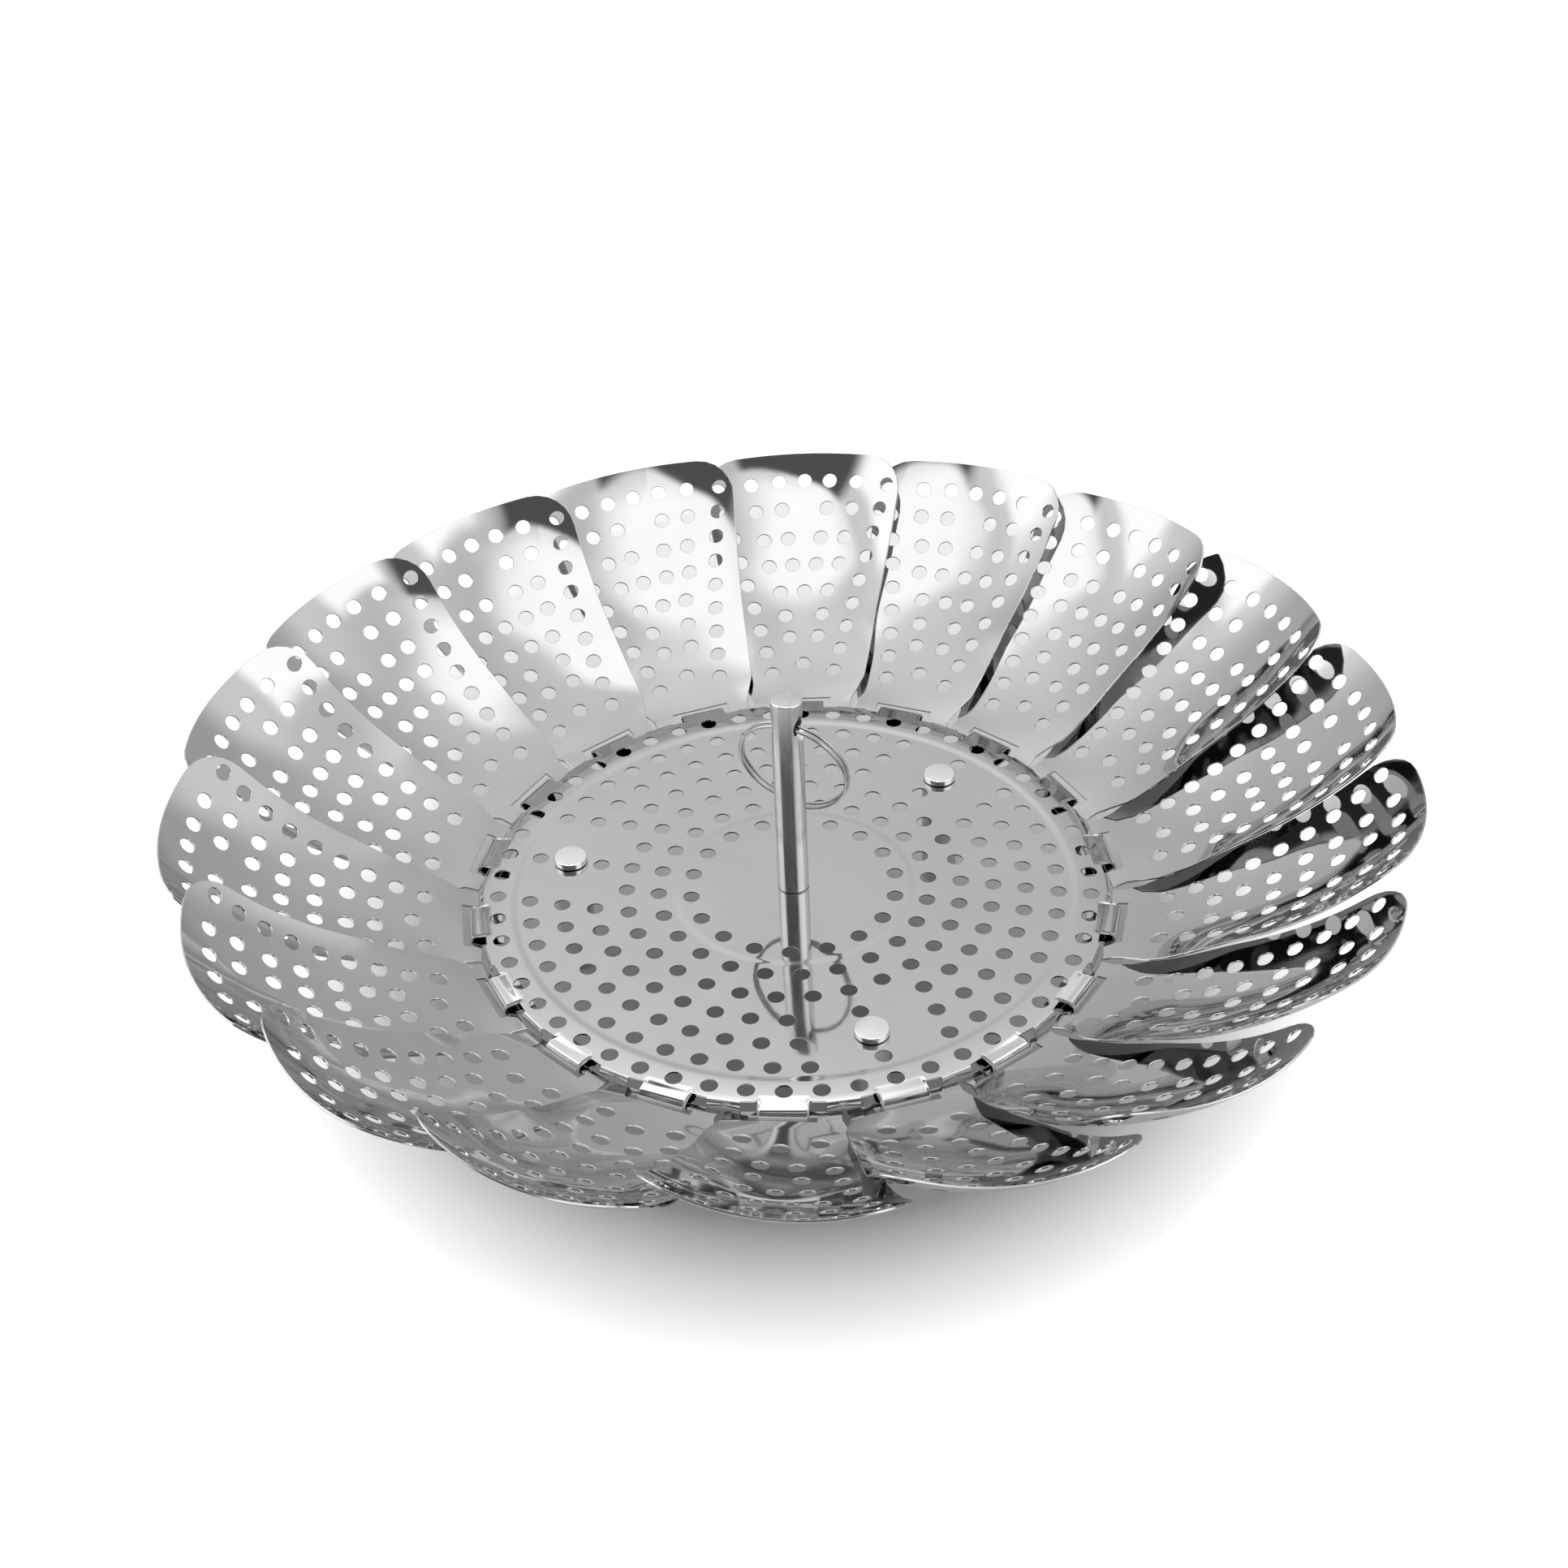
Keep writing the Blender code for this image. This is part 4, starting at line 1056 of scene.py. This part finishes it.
def post_mesh(sizes):
    """A rod with a rounded top, a cross hole and a threaded stud."""
    radius = (POST_HIGH.y - POST_LOW.y) / 2
    top = POST_HIGH.z
    stud = sizes.stud_diameter / 2
    profile = [(0.0, top)] + rounded(radius, top, sizes.edge)
    side_top = top - sizes.edge
    for i in range(1, POST_BANDS):
        profile.append((radius, side_top + (sizes.shoulder - side_top) * i / POST_BANDS))
    profile += [(radius, sizes.shoulder + sizes.edge / 2), (radius - sizes.edge / 2, sizes.shoulder),
                (stud, sizes.shoulder)]
    height = NUT_HIGH.z + 2.0 * sizes.thread_pitch
    while height - sizes.thread_pitch > POST_LOW.z + sizes.edge:
        profile += [(stud, height), (stud - sizes.thread_depth, height - sizes.thread_pitch / 2)]
        height -= sizes.thread_pitch
    profile += [(stud, height), (stud - sizes.edge, POST_LOW.z), (0.0, POST_LOW.z)]
    rod = turned_mesh("centre_post", profile, sizes.sides)
    drill = bmesh.new()
    quarter = Matrix.Rotation(math.pi / 2, 4, "Y")
    heading = Matrix.Rotation(math.atan2(PIVOT_AXIS.y, PIVOT_AXIS.x), 4, "Z")
    place = Matrix.Translation((0.0, 0.0, top - sizes.cross_depth))
    bore = sizes.cross_hole / 2
    reach = radius + OVERRUN
    half_chord = math.sqrt(radius ** 2 - bore ** 2)
    narrow = half_chord - DRILL_FLARE
    wide = bore + DRILL_FLARE + (reach - half_chord)
    turn(drill, ((0.0, reach), (wide, reach), (bore, narrow), (bore, -narrow), (wide, -reach), (0.0, -reach)),
         DRILL_SIDES)
    close_up(drill)
    bmesh.ops.transform(drill, matrix=place @ heading @ quarter, verts=drill.verts[:])
    mesh = smoothed(carved(rod, mesh_from(drill, "cross_drill", smooth=False)))
    return round_normals(mesh, radius)


def round_normals(mesh, radius):
    """Give the side of a turned piece the normals of a true cylinder."""
    places = read(mesh.vertices, "co")
    normals = read(mesh.corner_normals, "vector")
    for face in mesh.polygons:
        corners = [mesh.loops[i].vertex_index for i in face.loop_indices]
        on_side = all(abs(math.hypot(places[c][0], places[c][1]) - radius) < SIDE_PLAY for c in corners)
        if on_side and abs(face.normal.z) < SIDE_TILT:
            for i, c in zip(face.loop_indices, corners):
                normals[i] = (places[c][0] / radius, places[c][1] / radius, 0.0)
    mesh.normals_split_custom_set(normals.tolist())
    return mesh


def washer_mesh(sizes):
    """A flat ring with its outer edges broken."""
    outer = (WASHER_HIGH.y - WASHER_LOW.y) / 2
    edge = sizes.edge / 3
    low, high = WASHER_LOW.z, WASHER_HIGH.z
    hole = sizes.fixing_hole / 2
    profile = ((outer, high - edge), (outer, low + edge), (outer - edge, low), (hole, low), (hole, high),
               (outer - edge, high))
    return turned_mesh("post_washer", profile, sizes.sides, closed=True)


def nut_mesh(sizes):
    """A hexagon nut with turned chamfers and a bore."""
    low, high = NUT_LOW.z, NUT_HIGH.z
    corner = (NUT_HIGH.x - NUT_LOW.x) / 2
    flat = corner * math.cos(math.pi / NUT_SIDES)
    drop = (corner - flat) * CHAMFER_SLOPE
    middle = Matrix.Translation((0.0, 0.0, (low + high) / 2))
    prism = bmesh.new()
    bmesh.ops.create_cone(prism, cap_ends=True, segments=NUT_SIDES, radius1=corner, radius2=corner,
                          depth=high - low, matrix=middle)
    hole = sizes.fixing_hole / 2
    reach = corner + OVERRUN
    fall = drop + OVERRUN * CHAMFER_SLOPE
    profile = ((flat, high), (reach, high - fall), (reach, low + fall), (flat, low), (hole, low), (hole, high))
    chamfer = turned_mesh("nut_chamfer", profile, sizes.sides, closed=True, smooth=False)
    return smoothed(carved(mesh_from(prism, "post_nut", smooth=False), chamfer, "INTERSECT"), NUT_SHARP_ANGLE)


def ring_mesh(sizes):
    """Two turns of wire that hang from the cross hole and lean on the back of the post."""
    lean = math.radians(sizes.lean)
    behind = Vector((0.0, 0.0, 1.0)).cross(PIVOT_AXIS)
    down = Vector((0.0, 0.0, -1.0)) * math.cos(lean) + behind * math.sin(lean)
    normal = PIVOT_AXIS.cross(down)
    middle = PIVOT + down * sizes.radius
    start = middle + down * sizes.radius - normal * (sizes.pitch * sizes.turns / 2)
    bm = bmesh.new()
    section = Matrix((down, normal, PIVOT_AXIS)).transposed()
    made = bmesh.ops.create_circle(bm, cap_ends=True, segments=sizes.sides, radius=sizes.wire / 2)
    bmesh.ops.transform(bm, matrix=Matrix.Translation(start) @ section.to_4x4(), verts=made["verts"])
    steps = sizes.steps * sizes.turns
    bmesh.ops.spin(bm, geom=bm.faces[:], cent=middle, axis=-normal, dvec=normal * (sizes.pitch / sizes.steps),
                   angle=math.tau * sizes.turns, steps=steps)
    bmesh.ops.remove_doubles(bm, verts=bm.verts[:], dist=MERGE_DISTANCE)
    bmesh.ops.recalc_face_normals(bm, faces=bm.faces[:])
    return mesh_from(bm, "lifting_ring")


def foot_mesh(sizes, box):
    """A leg with a rounded lower edge and a bore for its rivet."""
    low, high = box
    radius = (high.x - low.x) / 2
    bore = sizes.bore / 2
    depth = high.z - FOOT_BORE_DEPTH
    rounding = sizes.rounding
    profile = [(0.0, low.z), (radius - rounding, low.z)]
    for i in range(1, ROUNDING_STEPS + 1):
        angle = math.pi / 2 * i / ROUNDING_STEPS
        profile.append((radius - rounding + rounding * math.sin(angle),
                        low.z + rounding - rounding * math.cos(angle)))
    profile += [(radius, high.z - FOOT_TOP_EDGE), (radius - FOOT_TOP_EDGE, high.z), (bore, high.z), (bore, depth),
                (0.0, depth)]
    return turned_mesh("foot", profile, sizes.sides, middle_of(box))


def rivet_mesh(sizes, box):
    """A flat head with a rounded edge over a shank."""
    low, high = box
    head = sizes.head / 2
    shank = sizes.shank / 2
    seat = high.z - sizes.head_height
    profile = [(0.0, high.z)] + rounded(head, high.z, sizes.head_edge)
    profile += [(head, seat + sizes.head_edge / 2), (head - sizes.head_edge / 2, seat), (shank, seat),
                (shank, low.z), (0.0, low.z)]
    return turned_mesh("rivet", profile, sizes.sides, middle_of(box))


class STEAMER_OT_plate(bpy.types.Operator):
    """Make the perforated plate with its tabs and lips"""
    bl_idname = "steamer.plate"
    bl_label = "Base plate"

    def execute(self, context):
        finishes = context.scene.steamer_finishes
        material = steel("plate_steel_polished", finishes.plate, finishes.plate_roughness, plate_finish)
        add_piece("base_plate_sheet", plate_mesh(context.scene.steamer_plate), material, "base", ["base_plate"])
        return {"FINISHED"}


class STEAMER_OT_petals(bpy.types.Operator):
    """Make the petals on their hinge lines"""
    bl_idname = "steamer.petals"
    bl_label = "Petals"

    def execute(self, context):
        finishes = context.scene.steamer_finishes
        material = steel("petal_steel_polished", finishes.petal, finishes.petal_roughness, petal_finish)
        shape = petal_mesh(context.scene.steamer_petal)
        for name in PETALS:
            mesh = shape.copy()
            mesh.transform(hinge_matrix(azimuth_of(Vector(JOINTS[f"{name}_fold"]["pos_m"]))))
            add_piece(f"{name}_sheet", mesh, material, name, [name])
        return {"FINISHED"}


class STEAMER_OT_post(bpy.types.Operator):
    """Make the centre post with its washer and nut"""
    bl_idname = "steamer.post"
    bl_label = "Centre post"

    def execute(self, context):
        sizes = context.scene.steamer_post
        finishes = context.scene.steamer_finishes
        rod = steel("post_steel_drawn", finishes.post, finishes.post_roughness, rod_finish)
        plain = steel("fixing_steel_plain", finishes.post, finishes.post_roughness, turned_finish)
        add_piece("centre_post_rod", post_mesh(sizes), rod, "base", ["centre_post"])
        add_piece("post_washer_ring", washer_mesh(sizes), plain, "base", ["post_washer"])
        add_piece("post_nut_hexagon", nut_mesh(sizes), plain, "base", ["post_nut"])
        return {"FINISHED"}


class STEAMER_OT_ring(bpy.types.Operator):
    """Make the lifting ring of two turns of wire"""
    bl_idname = "steamer.ring"
    bl_label = "Lifting ring"

    def execute(self, context):
        finishes = context.scene.steamer_finishes
        wire = steel("wire_steel_bright", finishes.wire, finishes.wire_roughness, wire_finish)
        add_piece("lifting_ring_wire", ring_mesh(context.scene.steamer_ring), wire, "ring", ["lifting_ring"])
        return {"FINISHED"}


class STEAMER_OT_feet(bpy.types.Operator):
    """Make the feet and the rivets that hold them"""
    bl_idname = "steamer.feet"
    bl_label = "Feet and rivets"

    def execute(self, context):
        sizes = context.scene.steamer_foot
        finishes = context.scene.steamer_finishes
        rivet_steel = steel("rivet_steel_turned", finishes.rivet, finishes.post_roughness, turned_finish)
        foot_steel = steel("foot_steel_turned", finishes.rivet, finishes.post_roughness, turned_finish)
        for i, (foot, rivet) in enumerate(zip(FEET, RIVETS)):
            add_piece(f"foot_{i + 1}_leg", foot_mesh(sizes, foot), foot_steel, "base", [f"foot_{i + 1}"])
            add_piece(f"foot_rivet_{i + 1}_head", rivet_mesh(sizes, rivet), rivet_steel, "base",
                      [f"foot_rivet_{i + 1}"])
        return {"FINISHED"}


class STEAMER_OT_stage(bpy.types.Operator):
    """Set the floor, the light and the camera"""
    bl_idname = "steamer.stage"
    bl_label = "Studio stage"

    def execute(self, context):
        light = context.scene.steamer_light
        white_room(context.scene, light.fill)
        pale_floor(light)
        painted_reflection_tent(light)
        softbox("overhead_softbox", OVERHEAD_PLACE, Vector(), *OVERHEAD_SIZE, light.overhead)
        aim_camera(context.scene, light)
        context.scene.view_settings.view_transform = "Standard"
        return {"FINISHED"}


def seen_directly(shading, mirrored=1.0):
    """1 where a ray comes from the camera or glass, and the given share where it comes from a mirror."""
    rays = shading.tree.nodes.new("ShaderNodeLightPath")
    camera, glossy, glass = (Reading(shading, rays.outputs[name])
                             for name in ("Is Camera Ray", "Is Glossy Ray", "Is Transmission Ray"))
    return (camera + glossy * mirrored + glass).math("MINIMUM", 1.0)


def white_room(scene, fill):
    """A white surround, with a softer strength for the light that it casts."""
    world = bpy.data.worlds.new("white_room")
    scene.world = world
    shading = Shading(world)
    backdrop = shading.tree.nodes["Background"]
    backdrop.inputs["Color"].default_value = (1.0, 1.0, 1.0, 1.0)
    seen = seen_directly(shading)
    shading.put(backdrop.inputs["Strength"], seen * (1.0 - fill) + fill)


def stage_piece(name, bm, material):
    """Put a piece of the stage in the scene."""
    mesh = mesh_from(bm, name)
    mesh.materials.append(material)
    piece = placed(name, mesh)
    return piece


def pale_floor(light):
    """A pale floor that keeps the object's soft shadow, with painted shade: it turns white past a painted shadow
    edge and past a painted shadow behind the object, is painted darker in a core, and has a painted glow under the
    back of the plate.
    """
    bm = bmesh.new()
    bmesh.ops.create_grid(bm, x_segments=1, y_segments=1, size=FLOOR_HALF_WIDTH)
    bmesh.ops.translate(bm, verts=bm.verts[:], vec=(0.0, 0.0, CAD_BOX[0][2]))
    material = bpy.data.materials.new("pale_floor_paint")
    shading = Shading(material)
    surface = shading.tree.nodes["Principled BSDF"]
    surface.inputs["Roughness"].default_value = 1.0
    surface.inputs["Specular IOR Level"].default_value = 0.0
    surface.inputs["Emission Strength"].default_value = 1.0
    place = shading.node("ShaderNodeTexCoord", output=3)

    def past(middle, start, end, kind="LINEAR"):
        return place.vector("SUBTRACT", middle).from_axis().rise(start, end, kind)

    past_painted_shade_core = past(PAINTED_SHADE_CORE_MIDDLE, PAINTED_SHADE_CORE_START, PAINTED_SHADE_CORE_END, "SMOOTHSTEP")
    # Painted shadow: a circle behind the object where the floor gets no white lift, seen through the holes
    past_painted_back_shadow = past(PAINTED_BACK_SHADOW_MIDDLE, PAINTED_BACK_SHADOW_START, PAINTED_BACK_SHADOW_END)
    # Painted shadow: the floor's white lift is held back inside these circles, so the shadow's edge and fade there
    # are painted
    past_painted_shadow = past(SHADOW_MIDDLE, SHADOW_START, SHADOW_END) * past_painted_back_shadow
    # Painted light: a glow painted into the floor's emission under the back of the plate, inside its shadow
    behind = place.parts()[1].rise(*PAINTED_GLOW_REACH) * past_painted_shade_core * PAINTED_GLOW_SHARE
    lift = (past_painted_shadow * light.floor_lift).math("MAXIMUM", behind) * seen_directly(shading, MIRRORED_FLOOR_SHARE)
    shading.put(surface.inputs["Emission Color"], lift.grey())
    # Painted shade: the floor's colour is painted darker in a core under the plate, where its shadow falls
    shading.put(surface.inputs["Base Color"], (past_painted_shade_core * (FLOOR_SHADE - PAINTED_CORE_SHADE) + PAINTED_CORE_SHADE).grey())
    stage_piece("pale_floor", bm, material)


def painted_reflection_tent(light):
    """A glowing tent that casts no light and shows only in reflections, a painted reflection: painted windows at
    its sides, a painted ceiling and a painted dark space round the camera.
    """
    bm = bmesh.new()
    bmesh.ops.create_uvsphere(bm, u_segments=TENT_SIDES, v_segments=TENT_RINGS, radius=TENT_RADIUS)
    material = bpy.data.materials.new("tent_painted_reflection")
    shading = Shading(material)
    place = shading.node("ShaderNodeTexCoord", output=3)
    right, away, up = place.parts()
    sine = (up / TENT_RADIUS).math("MAXIMUM", 0.0)
    height = sine.math("ARCSINE") * DEGREES
    azimuth = right.math("ARCTAN2", away) * DEGREES
    to_left = azimuth * -1.0
    low = 1.0 - height.rise(*SIDE_WALL_HEIGHT)
    wall = sine ** WALL_RISE_POWER * light.wall_rise + light.wall
    wall = wall * (azimuth.rise(*WALL_TURN) * WALL_TURN_SHARES[1] + WALL_TURN_SHARES[0])
    wall = wall + azimuth.math("ABSOLUTE").rise(*SIDE_WALLS) * low * light.side
    glow = to_left.rise(*LEFT_GLOW) * LEFT_GLOW_SHARE + azimuth.rise(*RIGHT_GLOW) * RIGHT_GLOW_SHARE
    wall = wall + glow * height.rise(*GLOW_HEIGHT)
    wall = wall * (height.rise(*WALL_FOOT_HEIGHT) * (1.0 - WALL_FOOT_SHARE) + WALL_FOOT_SHARE)
    across = right.math("ARCTAN2", up) * DEGREES
    forward = (away * -1.0).math("ARCTAN2", up) * DEGREES
    ceiling = across.rise(*CEILING_LEFT) - across.rise(*CEILING_RIGHT)
    ceiling = ceiling * (forward.rise(*CEILING_BACK) - forward.rise(*CEILING_FRONT))
    wall = wall + ceiling * (light.ceiling - wall)
    stand = to_left.rise(*STAND_LEFT) + azimuth.rise(*STAND_RIGHT)
    stand = stand * height.between(*STAND_HEIGHT, STAND_SOFTNESS)
    wall = wall + stand * (light.stand - wall)
    soft_side, soft_height = WINDOW_SOFTNESS
    for sides, heights in ((LEFT_WINDOW, LEFT_WINDOW_HEIGHT), (RIGHT_WINDOW, RIGHT_WINDOW_HEIGHT)):
        window = azimuth.between(*sides, soft_side) * height.between(*heights, soft_height)
        wall = wall + window * (light.window - wall)
    # Painted reflection: the tent's emission, which only mirrors see, paints what the steel reflects
    paper = shading.node("ShaderNodeEmission", None, wall.grey(), 1.0)
    shading.put(shading.tree.nodes["Material Output"].inputs["Surface"], paper)
    tent = stage_piece("painted_reflection_tent", bm, material)
    for ray in ("camera", "diffuse", "shadow", "transmission"):
        setattr(tent, f"visible_{ray}", False)


def facing(place, target):
    """A matrix at the place whose -Z looks at the target."""
    heading = (target - place).to_track_quat("-Z", "Y").to_matrix().to_4x4()
    return Matrix.Translation(place) @ heading


def softbox(name, place, target, width, height, brightness):
    """A rectangular lamp of a given brightness, which reflections don't show: they show the tent."""
    lamp = bpy.data.lights.new(name, "AREA")
    lamp.shape = "RECTANGLE"
    lamp.size = width
    lamp.size_y = height
    lamp.energy = brightness * math.pi * width * height
    thing = bpy.data.objects.new(name, lamp)
    thing.matrix_world = facing(place, target)
    thing.visible_glossy = False
    bpy.context.scene.collection.objects.link(thing)


def aim_camera(scene, light):
    """A camera at the photograph's viewing angle."""
    azimuth, elevation, roll = (math.radians(angle) for angle in (light.azimuth, light.elevation, light.roll))
    back = Vector((math.sin(azimuth) * math.cos(elevation), -math.cos(azimuth) * math.cos(elevation),
                   math.sin(elevation)))
    right = Vector((0.0, 0.0, 1.0)).cross(back).normalized()
    up = back.cross(right)
    rolled_right = right * math.cos(roll) + up * math.sin(roll)
    rolled_up = up * math.cos(roll) - right * math.sin(roll)
    camera = bpy.data.cameras.new("studio_camera")
    camera.lens = light.lens
    camera.sensor_width = SENSOR_WIDTH
    thing = bpy.data.objects.new("studio_camera", camera)
    turned = Matrix((rolled_right, rolled_up, back)).transposed().to_4x4()
    thing.matrix_world = Matrix.Translation(CAMERA_TARGET + back * light.distance) @ turned
    scene.collection.objects.link(thing)
    scene.camera = thing


class STEAMER_PT_pieces(bpy.types.Panel):
    """Lists the steamer's pieces"""
    bl_label = "Steamer basket"
    bl_space_type = "VIEW_3D"
    bl_region_type = "UI"
    bl_category = "Steamer"

    def draw(self, context):
        for operator in OPERATORS:
            self.layout.operator(operator.bl_idname)


GROUPS = {
    "steamer_plate": PlateSizes,
    "steamer_petal": PetalSizes,
    "steamer_post": PostSizes,
    "steamer_ring": RingSizes,
    "steamer_foot": FootSizes,
    "steamer_finishes": Finishes,
    "steamer_light": StageLight,
}
OPERATORS = (STEAMER_OT_plate, STEAMER_OT_petals, STEAMER_OT_post, STEAMER_OT_ring, STEAMER_OT_feet,
             STEAMER_OT_stage)


def register():
    for name, group in GROUPS.items():
        bpy.utils.register_class(group)
        setattr(bpy.types.Scene, name, bpy.props.PointerProperty(type=group))
    for operator in OPERATORS:
        bpy.utils.register_class(operator)
    bpy.utils.register_class(STEAMER_PT_pieces)


def unregister():
    bpy.utils.unregister_class(STEAMER_PT_pieces)
    for operator in reversed(OPERATORS):
        bpy.utils.unregister_class(operator)
    for name, group in reversed(GROUPS.items()):
        delattr(bpy.types.Scene, name)
        bpy.utils.unregister_class(group)


def main():
    register()
    for piece in ("plate", "petals", "post", "ring", "feet", "stage"):
        getattr(bpy.ops.steamer, piece)()


if __name__ == "__main__":
    main()
